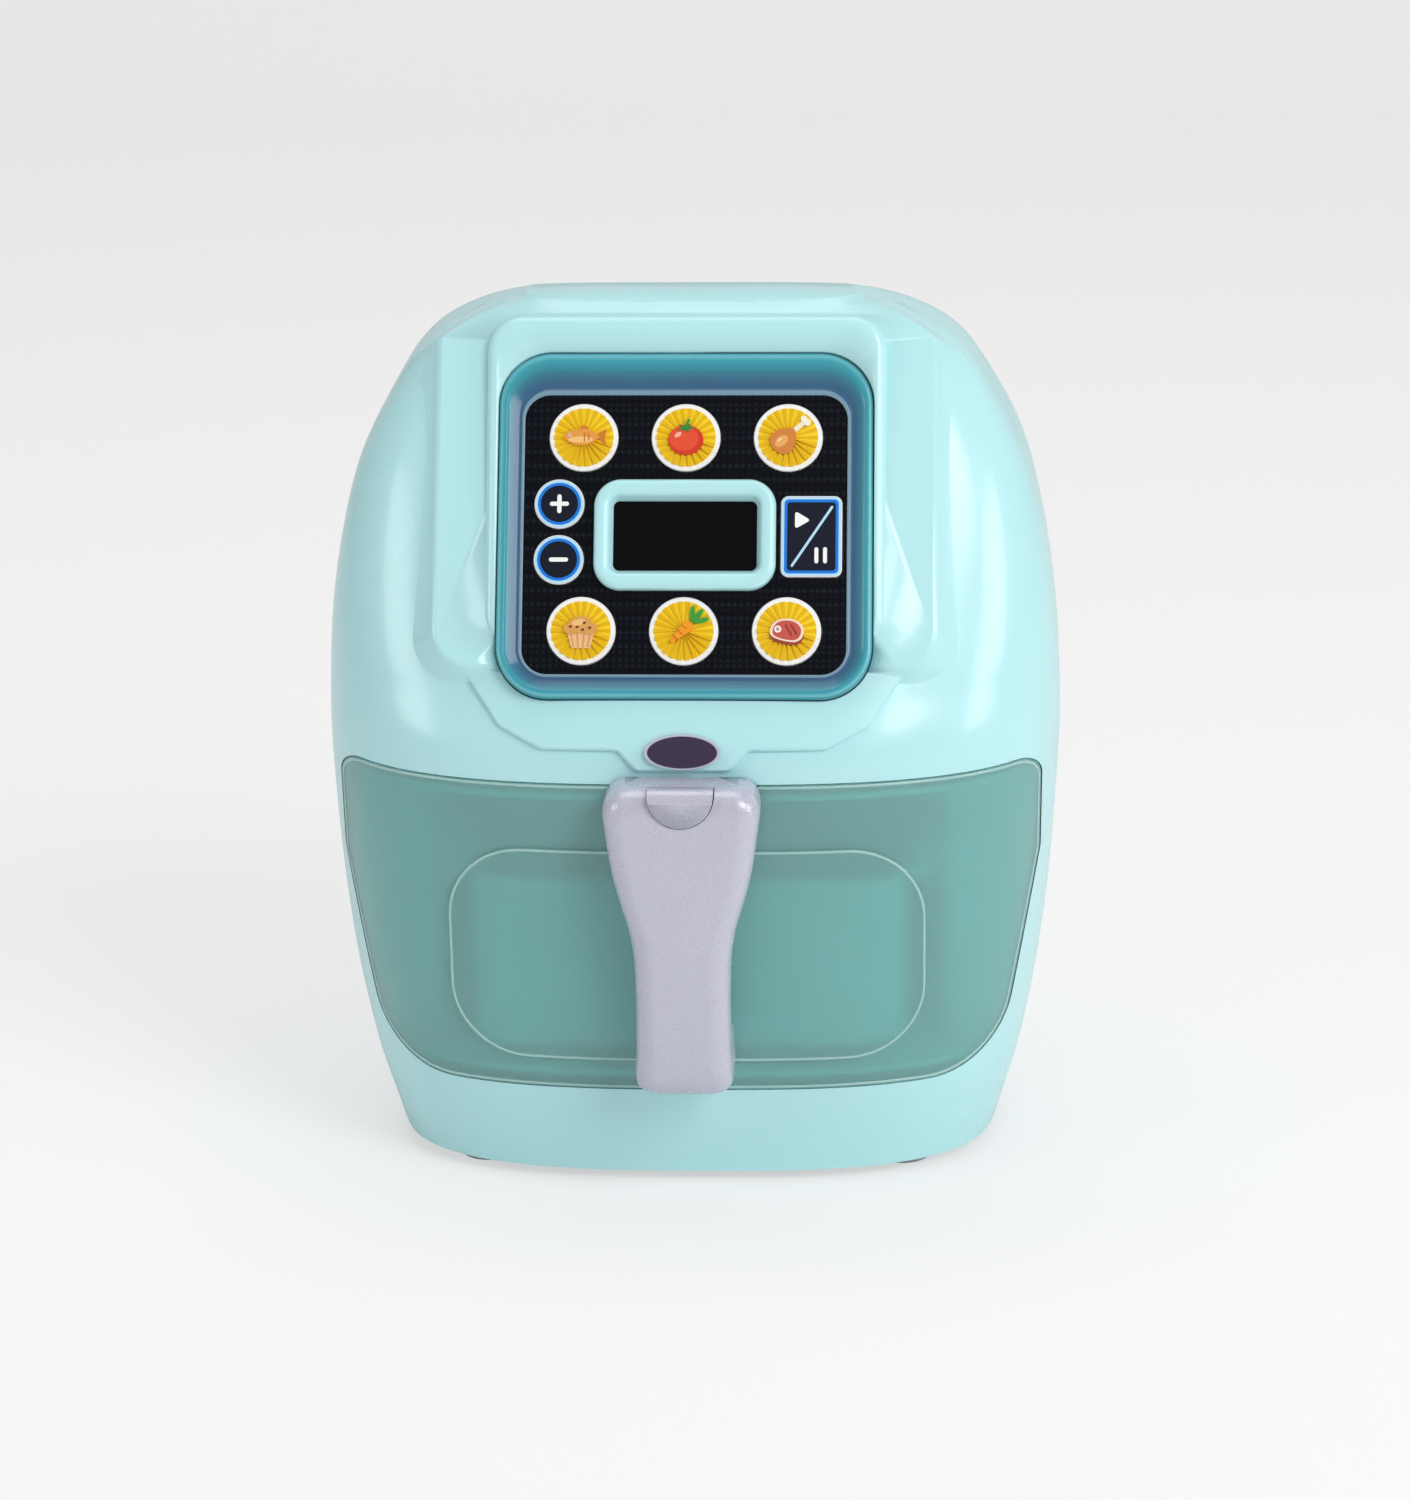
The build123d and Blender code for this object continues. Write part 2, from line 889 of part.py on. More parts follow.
with BuildPart() as play_pause_key:
    add(
        square_pad(
            play_key_x,
            play_key_s,
            play_key_width,
            play_key_height,
            play_key_corner,
            key_flange_back,
            panel_front + key_rise,
        )
    )
    fillet(play_pause_key.faces().sort_by(Axis(console.origin, console.z_dir))[-1].edges(), key_edge)
    add(
        square_pad(
            play_key_x,
            play_key_s,
            play_key_width + 2 * key_flange,
            play_key_height + 2 * key_flange,
            play_key_corner,
            key_flange_back,
            key_flange_front,
        )
    )
    add(round_pad(play_key_x, play_key_s, play_key_width / 4, stem_back, key_flange_back))
keep(play_pause_key.part, "play_pause_key")

with BuildPart() as display_frame:
    add(
        square_pad(
            0,
            frame_s,
            frame_width,
            frame_height,
            frame_corner,
            panel_front,
            panel_front + frame_rise,
        )
    )
    fillet(
        display_frame.faces().sort_by(Axis(console.origin, console.z_dir))[-1].edges(), frame_bevel / 2
    )
    add(
        square_pad(
            0,
            frame_s,
            lens_width + 2 * neck_wall,
            lens_height + 2 * neck_wall,
            lens_corner + neck_wall - slip_gap,
            panel_back - slip_gap,
            panel_front,
        )
    )
    add(
        square_pad(
            0,
            frame_s,
            lens_width - 2 * lens_lip,
            lens_height - 2 * lens_lip,
            lens_corner,
            panel_back - overrun,
            panel_front + frame_rise + overrun,
        ),
        mode=Mode.SUBTRACT,
    )
    add(
        square_pad(
            0,
            frame_s,
            lens_width + slip_gap,
            lens_height + slip_gap,
            lens_corner,
            panel_back - overrun,
            0,
        ),
        mode=Mode.SUBTRACT,
    )
    chamfer(
        display_frame.faces()
        .filter_by(lambda face: abs(face.normal_at().dot(console.z_dir)) > 0.99)
        .sort_by(Axis(console.origin, console.z_dir))[-1]
        .inner_wires()[0]
        .edges(),
        frame_bevel,
    )
keep(display_frame.part, "display_frame")

with BuildPart() as display_lens:
    add(square_pad(0, frame_s, lens_width, lens_height, lens_corner, -lens_thickness, 0))
keep(display_lens.part, "display_lens")

led_front = board_front + led_height
with BuildPart() as display_diffuser:
    add(
        square_pad(
            0,
            frame_s,
            lens_width - lens_lip,
            lens_height - lens_lip,
            lens_corner,
            led_front + hinge_clearance,
            -lens_thickness,
        )
    )
keep(display_diffuser.part, "display_diffuser")

with BuildPart() as display_leds:
    for step in (-1, 0, 1):
        led_x = step * led_pitch
        add(square_pad(led_x, frame_s, led_width, led_depth, led_depth / 4, board_front, led_front))
keep(display_leds.part, "display_leds")

with BuildPart() as key_membrane:
    add(
        console_pad(
            bezel_half_width - ledge_width - slip_gap,
            bezel_low - ledge_width - slip_gap,
            bezel_high - ledge_width - slip_gap,
            bezel_corner - ledge_width,
            board_front,
            membrane_front,
        )
    )
    add(
        square_pad(
            0,
            frame_s,
            neck_width,
            neck_height,
            lens_corner,
            board_front - overrun,
            membrane_front + overrun,
        ),
        mode=Mode.SUBTRACT,
    )
keep(key_membrane.part, "key_membrane")

with BuildPart() as circuit_board:
    add(
        console_pad(
            bezel_half_width - ledge_width + board_margin,
            bezel_low - ledge_width + board_margin,
            bezel_high - ledge_width + board_margin,
            bezel_corner - ledge_width,
            board_back,
            board_front,
        )
    )
    ear_span = 2 * (bezel_half_width - ledge_width + ear_reach)
    ear_hole_radius = small_screw_radius + shank_clearance / 2
    for s in (-ear_s, ear_s):
        add(square_pad(0, s, ear_span, ear_width, ear_width / 4, board_back, board_front))
        for side in mirror_signs:
            add(
                round_pad(side * ear_x, s, ear_hole_radius, board_back - overrun, board_front + overrun),
                mode=Mode.SUBTRACT,
            )
keep(circuit_board.part, "circuit_board")

with BuildPart() as controller_chip:
    add(round_pad(0, chip_s, chip_radius, board_back - chip_height, board_back))
    chip_back = controller_chip.faces().sort_by(Axis(console.origin, console.z_dir))[0]
    fillet(chip_back.edges(), chip_height / 2)
keep(controller_chip.part, "controller_chip")

with BuildPart() as board_screws:
    for side in mirror_signs:
        for s in (-ear_s, ear_s):
            add(round_pad(side * ear_x, s, small_head_radius, board_back - small_head_height, board_back))
            add(round_pad(side * ear_x, s, small_screw_radius, board_back, board_back + small_screw_length))
keep(board_screws.part, "board_screws")

with BuildPart() as badge_plate:
    with BuildSketch(Plane((0, girth_y, badge_z), x_dir=(1, 0, 0), z_dir=(0, -1, 0))):
        Ellipse(badge_half_width, badge_half_height)
    extrude(amount=2 * front_depth)
    add(barrel(chin_rise + badge_thickness), mode=Mode.INTERSECT)
    add(barrel(chin_rise + hinge_clearance), mode=Mode.SUBTRACT)
keep(badge_plate.part, "badge_plate")

# The drawer and the liner that it runs in
with BuildPart() as drawer_front:
    add(outer_barrel)
    add(drawer_inner_barrel, mode=Mode.SUBTRACT)
    add(drawer_prism(slip_gap, -2 * half_width, drawer_side_y - slip_gap), mode=Mode.INTERSECT)
    emboss_outline = [
        (emboss_half_width, emboss_top),
        (emboss_half_width, emboss_low),
        (-emboss_half_width, emboss_low),
        (-emboss_half_width, emboss_top),
    ]
    add(
        (barrel(emboss_rise) - barrel(-wall / 2))
        & upright_prism(emboss_outline, emboss_corner, girth_y, -2 * half_width)
    )
    for z in (handle_screw_high, handle_screw_low):
        add(post(0, z, screw_radius + shank_clearance, -2 * half_width, 0), mode=Mode.SUBTRACT)
keep(drawer_front.part, "drawer_front")

with BuildPart() as drawer_bracket:
    add(
        slab(
            (-bracket_half_width, -2 * half_width, bracket_low),
            (bracket_half_width, tub_front_y, bracket_high),
        )
    )
    add(barrel(-drawer_thickness - hinge_clearance, open_below=True), mode=Mode.INTERSECT)
    for z in (handle_screw_high, handle_screw_low):
        add(post(0, z, screw_radius + shank_clearance, -2 * half_width, 0), mode=Mode.SUBTRACT)
keep(drawer_bracket.part, "drawer_bracket")

tub_middle_y = (tub_front_y + tub_back_y) / 2
tub_depth = tub_back_y - tub_front_y
tub_floor = tub_low + tub_wall
with BuildPart() as drawer_tub:
    with BuildSketch(Plane.XY.offset(tub_low)):
        with Locations((0, tub_middle_y)):
            RectangleRounded(2 * tub_half_width, tub_depth, tub_corner)
    extrude(amount=tub_top - tub_low)
    fillet(drawer_tub.faces().sort_by(Axis.Z)[0].edges(), 2 * tub_wall)
    with BuildSketch(Plane.XY.offset(tub_top - rim_thickness)):
        with Locations((0, (rim_front_y + tub_back_y) / 2)):
            Rectangle(2 * (tub_half_width + rim_width), tub_back_y - rim_front_y)
    extrude(amount=rim_thickness)
    with BuildSketch(Plane.XY.offset(tub_floor)):
        with Locations((0, tub_middle_y)):
            RectangleRounded(
                2 * (tub_half_width - tub_wall), tub_depth - 2 * tub_wall, tub_corner - tub_wall
            )
    extrude(amount=tub_top, mode=Mode.SUBTRACT)
    for x in (-tub_half_width / 2, tub_half_width / 2):
        for y in (tub_middle_y - tub_depth / 4, tub_middle_y + tub_depth / 4):
            add(column(x, y, stand_radius, tub_floor, tub_floor + tray_stand))
    add(
        post(0, handle_screw_low, screw_radius + shank_clearance, tub_front_y - overrun, 0),
        mode=Mode.SUBTRACT,
    )
keep(drawer_tub.part, "drawer_tub")

tray_low = tub_floor + tray_stand
with BuildPart() as crisper_tray:
    with BuildSketch(Plane.XY.offset(tray_low)):
        with Locations((0, tub_middle_y)):
            RectangleRounded(
                2 * (tub_half_width - tub_wall - tray_gap),
                tub_depth - 2 * (tub_wall + tray_gap),
                tub_corner - tub_wall,
            )
            with GridLocations(slot_column_pitch, slot_pitch, 2, slot_rows):
                SlotOverall(slot_length, slot_width, mode=Mode.SUBTRACT)
    extrude(amount=tray_thickness)
keep(crisper_tray.part, "crisper_tray")

chamber_inner = chamber_half_width - chamber_wall
with BuildPart() as drawer_chamber:
    add(
        slab(
            (-chamber_half_width, mouth_frame_y, chamber_low),
            (chamber_half_width, chamber_back_y, chamber_top),
        )
    )
    # the mouth frame with its roof and floor, which close the gap behind the drawer's front
    add(
        slab(
            (-2 * half_width, mouth_frame_y, drawer_low - mouth_frame_margin),
            (2 * half_width, mouth_frame_y + mouth_frame_thickness, drawer_top + mouth_frame_margin),
        )
        & barrel(-drawer_thickness - 2 * slip_gap)
    )
    for low in (chamber_low, chamber_top - chamber_wall):
        add(
            slab(
                (-2 * half_width, -2 * half_width, low),
                (2 * half_width, mouth_frame_y + mouth_frame_thickness, low + chamber_wall),
            )
            & barrel(-drawer_thickness - 2 * slip_gap)
        )
    add(
        slab(
            (-chamber_inner, mouth_frame_y - overrun, chamber_low + chamber_wall),
            (chamber_inner, chamber_back_y - chamber_wall, chamber_top - chamber_wall),
        ),
        mode=Mode.SUBTRACT,
    )
    for side in mirror_signs:
        for y in (leg_front_y, leg_back_y):
            add(column(side * leg_x, y, leg_radius, base_top, chamber_low))
keep(drawer_chamber.part, "drawer_chamber")

rim_low = tub_top - rim_thickness
for side, name in ((-1, "rail_left"), (1, "rail_right")):
    outside = side * chamber_inner
    inside = side * (chamber_inner - rail_back)
    tip = side * (chamber_inner - rail_reach)
    with BuildPart() as rail:
        add(
            slab(
                (min(outside, inside), rail_front_y, rim_low - rail_gap - rail_leg),
                (max(outside, inside), rail_rear_y, tub_top + rail_gap + rail_leg),
            )
        )
        for low in (rim_low - rail_gap - rail_leg, tub_top + rail_gap):
            add(
                slab(
                    (min(outside, tip), rail_front_y, low),
                    (max(outside, tip), rail_rear_y, low + rail_leg),
                )
            )
    keep(rail.part, name)

# Height between the handle's ends, half width and reach to the front, as shares
handle_level_shares = [
    (0.00, 0.64, 0.87),
    (0.14, 0.61, 0.95),
    (0.27, 0.60, 0.99),
    (0.42, 0.61, 1.00),
    (0.53, 0.66, 1.00),
    (0.615, 0.76, 0.99),
    (0.73, 0.885, 0.975),
    (0.83, 0.95, 0.955),
    (0.92, 0.99, 0.93),
    (1.00, 0.96, 0.91),
]


def handle_levels():
    """Heights and insets of the handle's levels: even steps between its domed ends."""
    ends = [
        (handle_dome * (1 - math.sin(turn)), handle_dome * (1 - math.cos(turn)))
        for turn in (math.radians(degrees) for degrees in dome_turn_degrees)
    ]
    low_end = [(handle_low + drop, inset) for drop, inset in reversed(ends)]
    high_end = [(handle_top - drop, inset) for drop, inset in ends]
    step = (high_end[0][0] - low_end[-1][0]) / handle_steps
    middle = [(low_end[-1][0] + step * count, 0.0) for count in range(1, handle_steps)]
    return low_end + middle + high_end


def whole_handle():
    reach = handle_back_y - handle_front_y
    with BuildPart() as grip:
        for z, inset in handle_levels():
            width_share, reach_share = row_at(
                handle_level_shares, (z - handle_low) / (handle_top - handle_low)
            )
            front = handle_back_y - reach * reach_share + inset
            with BuildSketch(Plane.XY.offset(z)):
                with Locations((0, (front + handle_back_y) / 2)):
                    RectangleRounded(
                        2 * (handle_half_width * width_share - inset),
                        handle_back_y - front,
                        handle_corner - handle_dome_corner_share * inset,
                    )
        loft()
        with BuildSketch(Plane.YZ.offset(-2 * handle_half_width)):
            with Locations(
                (
                    (finger_front_y + handle_back_y + handle_corner) / 2,
                    (finger_low + finger_high) / 2,
                )
            ):
                RectangleRounded(
                    handle_back_y + handle_corner - finger_front_y,
                    finger_high - finger_low,
                    finger_corner,
                )
        extrude(amount=4 * handle_half_width, mode=Mode.SUBTRACT)
        add(barrel(emboss_rise + 2 * hinge_clearance), mode=Mode.SUBTRACT)
    return grip.part


button_back_y = parting_y - button_travel - button_gap
button_arc_z = button_low + button_half_width
spring_z = button_arc_z - button_half_width / 2


def button_prism(grow, top, low_y, high_y):
    """The thumb button's half-round outline, run along Y."""
    with BuildPart() as prism:
        with BuildSketch(Plane((0, high_y, 0), x_dir=(1, 0, 0), z_dir=(0, -1, 0))):
            with Locations((0, button_arc_z)):
                Circle(button_half_width + grow)
            with Locations((0, (button_arc_z + top) / 2)):
                Rectangle(2 * (button_half_width + grow), top - button_arc_z)
        extrude(amount=high_y - low_y)
        add(
            slab((-half_width, -2 * half_width, 0), (half_width, half_width, top)),
            mode=Mode.INTERSECT,
        )
    return prism.part


def button_flange_block(grow, low_y, high_y):
    return slab(
        (-button_half_width - button_flange - grow, low_y, button_low - button_flange - grow),
        (button_half_width + button_flange + grow, high_y, button_flange_top + grow),
    )


handle_form = whole_handle()
flange_front_y = button_back_y - button_flange_thickness
with BuildPart() as handle_front:
    add(handle_form)
    add(
        slab((-half_width, -2 * half_width, 0), (half_width, parting_y, body_height)),
        mode=Mode.INTERSECT,
    )
    add(button_prism(button_gap, body_height, -2 * half_width, half_width), mode=Mode.SUBTRACT)
    add(button_flange_block(button_gap, flange_front_y - button_gap, half_width), mode=Mode.SUBTRACT)
keep(handle_front.part, "handle_front")

with BuildPart() as handle_back:
    add(handle_form)
    add(
        slab((-half_width, parting_y, 0), (half_width, half_width, body_height)),
        mode=Mode.INTERSECT,
    )
    add(
        post(0, spring_z, spring_bore, parting_y, parting_y + spring_seat_depth), mode=Mode.SUBTRACT
    )
    for z in (handle_screw_high, handle_screw_low):
        add(
            post(0, z, pilot_radius, tub_front_y - handle_screw_length - overrun, 0),
            mode=Mode.SUBTRACT,
        )
keep(handle_back.part, "handle_back")

with BuildPart() as release_button:
    add(
        button_prism(0, handle_top + button_top_rise, button_front_y, button_back_y)
    )
    fillet(
        release_button.edges().filter_by(Axis.X).group_by(Axis.Z)[-1].sort_by(Axis.Y)[0],
        button_edge,
    )
    add(button_flange_block(0, flange_front_y, button_back_y))
    add(post(0, spring_z, spring_bore, button_back_y - spring_bore_depth, 0), mode=Mode.SUBTRACT)
keep(release_button.part, "release_button")

with BuildPart() as release_spring:
    spring_low_y = button_back_y - spring_bore_depth + spring_end_gap
    spring_high_y = parting_y + spring_seat_depth - spring_end_gap
    add(post(0, spring_z, release_spring_radius, spring_low_y, spring_high_y))
    add(
        post(0, spring_z, release_spring_radius - release_spring_wire, spring_low_y - overrun, 0),
        mode=Mode.SUBTRACT,
    )
keep(release_spring.part, "release_spring")

with BuildPart() as handle_screws:
    for z, head_y in ((handle_screw_high, tub_front_y), (handle_screw_low, tub_front_y + tub_wall)):
        add(post(0, z, screw_head_radius, head_y, head_y + screw_head_height))
        add(post(0, z, screw_radius, tub_front_y - handle_screw_length, head_y))
keep(handle_screws.part, "handle_screws")

# The base, its feet and the battery bay
bay_half_width = cell_count * cell_pitch / 2 + bay_gap
cell_z = foot_height + door_thickness + bay_gap + cell_radius
bay_top = cell_z + cell_radius + bay_gap
door_half_length = bay_half_length + door_margin
door_back_y = bay_y + bay_half_width + door_margin
door_front_y = bay_y - bay_half_width - door_margin
door_edge_radius = door_thickness / 2
pivot_y = door_back_y - door_edge_radius
pivot_z = foot_height + door_edge_radius
door_screw_y = door_front_y - door_tab_reach
door_boss_top = base_top + door_boss_height
door_head_z = foot_height + door_head_height + hinge_clearance
base_head_z = foot_height + screw_head_height + hinge_clearance
slot_half_length = (switch_travel + knob_length) / 2 + switch_gap
slot_half_width = knob_width / 2 + switch_gap


def door_form(grow, low, high):
    """The battery door with its screw tab, as a plate between two heights."""
    with BuildPart() as plate:
        with BuildSketch(Plane.XY.offset(low)):
            with Locations((0, (door_back_y + door_front_y) / 2)):
                Rectangle(2 * (door_half_length + grow), door_back_y - door_front_y + 2 * grow)
            with Locations((0, door_screw_y)):
                Circle(door_tab_radius + grow)
        extrude(amount=high - low)
    return plate.part


def cross_bar(y, z, radius, left, right):
    """A round bar or hole along X."""
    with BuildPart() as bar:
        with BuildSketch(Plane.YZ.offset(left)):
            with Locations((y, z)):
                Circle(radius)
        extrude(amount=right - left)
    return bar.part


base_screw_places = [
    (side * base_boss_x, y) for side in mirror_signs for y in (base_boss_front_y, base_boss_back_y)
]
foot_places = {
    "foot_front_left": (-foot_x, foot_front_y),
    "foot_front_right": (foot_x, foot_front_y),
    "foot_rear_left": (-foot_x, foot_back_y),
    "foot_rear_right": (foot_x, foot_back_y),
}
pin_end = door_half_length + hinge_pin_length
with BuildPart() as base_plate:
    with BuildSketch(Plane.XY.offset(foot_height)):
        with BuildLine():
            add(level_loop(foot_height, -wall - slip_gap))
        make_face()
    extrude(amount=base_thickness)
    add(
        slab(
            (-bay_half_length - bay_wall, bay_y - bay_half_width - bay_wall, base_top - bay_wall / 2),
            (bay_half_length + bay_wall, bay_y + bay_half_width + bay_wall, bay_top + bay_wall),
        )
    )
    add(column(0, door_screw_y, boss_radius, base_top - bay_wall / 2, door_boss_top))
    add(
        door_form(slip_gap, foot_height - overrun, foot_height + door_thickness + slip_gap),
        mode=Mode.SUBTRACT,
    )
    add(
        slab(
            (-bay_half_length, bay_y - bay_half_width, 0),
            (bay_half_length, bay_y + bay_half_width, bay_top),
        ),
        mode=Mode.SUBTRACT,
    )
    add(
        column(0, door_screw_y, screw_radius + door_screw_clearance, 0, door_boss_top - bay_wall),
        mode=Mode.SUBTRACT,
    )
    add(
        cross_bar(
            pivot_y,
            pivot_z,
            hinge_pin_radius + hinge_clearance,
            -pin_end - slip_gap,
            pin_end + slip_gap,
        ),
        mode=Mode.SUBTRACT,
    )
    for x, y in base_screw_places:
        add(column(x, y, screw_radius + shank_clearance, 0, base_top), mode=Mode.SUBTRACT)
        add(column(x, y, screw_head_radius + head_clearance, 0, base_head_z), mode=Mode.SUBTRACT)
    for x, y in foot_places.values():
        add(
            column(x, y, foot_radius + hinge_clearance, 0, foot_height + foot_sink),
            mode=Mode.SUBTRACT,
        )
    add(
        slab(
            (-slot_half_length, switch_y - slot_half_width, 0),
            (slot_half_length, switch_y + slot_half_width, base_top),
        ),
        mode=Mode.SUBTRACT,
    )
keep(base_plate.part, "base_plate")

for name, (x, y) in foot_places.items():
    with BuildPart() as foot:
        add(column(x, y, foot_radius, 0, foot_height + foot_sink))
        fillet(foot.faces().sort_by(Axis.Z)[0].edges(), foot_sink / 2)
    keep(foot.part, name)

with BuildPart() as battery_door:
    add(
        door_form(0, foot_height, foot_height + door_thickness)
        & slab((-half_width, -half_width, 0), (half_width, pivot_y, base_top))
    )
    add(cross_bar(pivot_y, pivot_z, door_edge_radius, -door_half_length, door_half_length))
    add(cross_bar(pivot_y, pivot_z, hinge_pin_radius, -pin_end, pin_end))
    add(column(0, door_screw_y, screw_radius + shank_clearance, 0, base_top), mode=Mode.SUBTRACT)
    add(column(0, door_screw_y, door_head_radius + head_clearance, 0, door_head_z), mode=Mode.SUBTRACT)
keep(battery_door.part, "battery_door")

with BuildPart() as battery_door_screw:
    add(column(0, door_screw_y, door_head_radius, door_head_z - door_head_height, door_head_z))
    add(column(0, door_screw_y, screw_radius, door_head_z, door_head_z + door_screw_length))
keep(battery_door_screw.part, "battery_door_screw")

# The first and last cell lie one way round and the middle one the other way
cell_rows = [(bay_y + (step - 1) * cell_pitch, 1 if step % 2 == 0 else -1) for step in range(cell_count)]
contact_face = bay_half_length - contact_thickness
cell_nub_face = contact_face - cell_nub_length
cell_tail = cell_nub_face - cell_length


def bar_from(y, z, radius, turn, near, far):
    """A bar along X between two distances, on the side that the cell points to."""
    return cross_bar(y, z, radius, min(turn * near, turn * far), max(turn * near, turn * far))


def cell(y, turn):
    with BuildPart() as one_cell:
        add(bar_from(y, cell_z, cell_radius, turn, cell_tail, cell_nub_face))
        fillet(one_cell.edges().filter_by(GeomType.CIRCLE), cell_edge)
        add(bar_from(y, cell_z, cell_nub_radius, turn, cell_nub_face, contact_face))
    return one_cell.part


with BuildPart() as battery_cells:
    for y, turn in cell_rows:
        add(cell(y, turn))
keep(battery_cells.part, "battery_cells")

with BuildPart() as battery_contacts:
    for y, _ in cell_rows:
        for side in mirror_signs:
            add(
                slab(
                    (
                        min(side * contact_face, side * bay_half_length),
                        y - contact_width / 2,
                        cell_z - contact_height / 2,
                    ),
                    (
                        max(side * contact_face, side * bay_half_length),
                        y + contact_width / 2,
                        cell_z + contact_height / 2,
                    ),
                )
            )
keep(battery_contacts.part, "battery_contacts")

with BuildPart() as battery_springs:
    for y, turn in cell_rows:
        add(
            bar_from(y, cell_z, spring_radius, turn, -contact_face, cell_tail)
            - bar_from(y, cell_z, spring_radius - spring_wire, turn, -contact_face, cell_tail)
        )
keep(battery_springs.part, "battery_springs")

# The speaker: profiles in the plane x = 0, turned about its own axis
speaker_axis = Axis((0, 0, speaker_z), (0, 1, 0))
frame_inside = speaker_radius - speaker_lip
basket_back = speaker_flange_y - basket_depth
cone_edge = frame_inside - 2 * cone_thickness


def turned(points):
    """A solid of revolution about the speaker's axis, from radii and depths."""
    with BuildPart() as round_solid:
        with BuildSketch(Plane.YZ):
            with BuildLine():
                Polyline(*[(y, speaker_z + radius) for radius, y in points], close=True)
            make_face()
        revolve(axis=speaker_axis)
    return round_solid.part


with BuildPart() as speaker_frame:
    add(
        turned(
            [
                (frame_inside, seat_y),
                (speaker_radius, seat_y),
                (speaker_radius, speaker_flange_y),
                (frame_inside, speaker_flange_y),
                (basket_radius + speaker_flange_thickness, basket_back),
                (0, basket_back),
                (0, basket_back + speaker_flange_thickness),
                (basket_radius, basket_back + speaker_flange_thickness),
            ]
        )
    )
keep(speaker_frame.part, "speaker_frame")

with BuildPart() as speaker_cone:
    add(
        turned(
            [
                (cone_edge, seat_y),
                (cone_edge, seat_y - cone_thickness),
                (basket_radius / 2, seat_y - cone_depth),
                (0, seat_y - cone_depth),
                (0, seat_y - cone_depth + cone_thickness),
                (basket_radius / 2 - cone_thickness, seat_y - cone_depth + cone_thickness),
                (cone_edge - cone_thickness, seat_y),
            ]
        )
    )
keep(speaker_cone.part, "speaker_cone")

with BuildPart() as speaker_magnet:
    add(post(0, speaker_z, magnet_radius, basket_back - magnet_depth, basket_back))
keep(speaker_magnet.part, "speaker_magnet")

with BuildPart() as speaker_ring:
    ring_back = speaker_flange_y - speaker_ring_thickness
    add(post(0, speaker_z, speaker_radius, ring_back, speaker_flange_y))
    add(
        post(0, speaker_z, frame_inside + hinge_clearance, ring_back - overrun, seat_y),
        mode=Mode.SUBTRACT,
    )
keep(speaker_ring.part, "speaker_ring")

# The on/off switch, whose knob rests at the left end of its slot
knob_x = -switch_travel / 2
knob_flange_low = base_top + switch_gap
with BuildPart() as switch_body:
    with BuildSketch(Plane.XY.offset(base_top)):
        with Locations((0, switch_y)):
            Rectangle(switch_length, switch_width)
    extrude(amount=switch_height)
    with BuildSketch(Plane.XY.offset(base_top)):
        with Locations((0, switch_y)):
            Rectangle(
                2 * (slot_half_length + knob_flange + switch_gap),
                2 * (slot_half_width + knob_flange),
            )
    extrude(amount=knob_flange_thickness + 2 * switch_gap, mode=Mode.SUBTRACT)
keep(switch_body.part, "switch_body")

with BuildPart() as switch_knob:
    with BuildSketch(Plane.XY.offset(knob_drop)):
        with Locations((knob_x, switch_y)):
            Rectangle(knob_length, knob_width)
    extrude(amount=knob_flange_low - knob_drop)
    with BuildSketch(Plane.XY.offset(knob_drop)):
        with Locations((knob_x, switch_y)):
            with GridLocations(knob_grip_pitch, 0, 3, 1):
                Rectangle(knob_grip_depth, knob_width)
    extrude(amount=knob_grip_depth, mode=Mode.SUBTRACT)
    with BuildSketch(Plane.XY.offset(knob_flange_low)):
        with Locations((knob_x, switch_y)):
            Rectangle(knob_length + 2 * knob_flange, knob_width + 2 * knob_flange)
    extrude(amount=knob_flange_thickness)
keep(switch_knob.part, "switch_knob")

# Screws of the housing and the base
with BuildPart() as housing_screws:
    for side in mirror_signs:
        for x, z in housing_screw_places:
            add(post(side * x, z, screw_head_radius, web_y, web_y + screw_head_height))
            add(post(side * x, z, screw_radius, web_y - screw_length, web_y))
keep(housing_screws.part, "housing_screws")

with BuildPart() as base_screws:
    for x, y in base_screw_places:
        add(column(x, y, screw_head_radius, base_head_z - screw_head_height, base_head_z))
        add(column(x, y, screw_radius, base_head_z, base_head_z + screw_length))
keep(base_screws.part, "base_screws")


def wire(points):
    with BuildPart() as strand:
        with BuildLine() as path:
            Spline(*points)
        with BuildSketch(path.line ^ 0):
            Circle(wire_radius)
        sweep()
    return strand.part


board_rear = console.offset(board_back)
wire_high_z = chamber_top - wire_high_drop
wire_turn_z = console_z - wire_turn_drop
wire_climb_x = level_at(wire_low_z)[0] * half_width - wall - wire_wall_gap
with BuildPart() as battery_wires:
    for step in (0, 1):
        shift = step * wire_pitch
        wall_face = bay_half_length + bay_wall
        add(
            wire(
                [
                    Vector(-wall_face, wire_climb_y + shift, cell_z),
                    Vector(-(wall_face + wire_climb_x) / 2, wire_climb_y + shift, cell_z),
                    Vector(-wire_climb_x, wire_climb_y + shift, wire_low_z),
                    Vector(-wire_climb_x, wire_climb_y + shift, (wire_low_z + wire_high_z) / 2),
                    Vector(-wire_climb_x, wire_climb_y + shift, wire_high_z),
                    Vector(-wire_turn_x, wire_climb_y / 2 + shift, wire_turn_z),
                    board_rear.from_local_coords((-wire_board_x, shift - wire_board_s, 0)),
                ]
            )
        )
keep(battery_wires.part, "battery_wires")

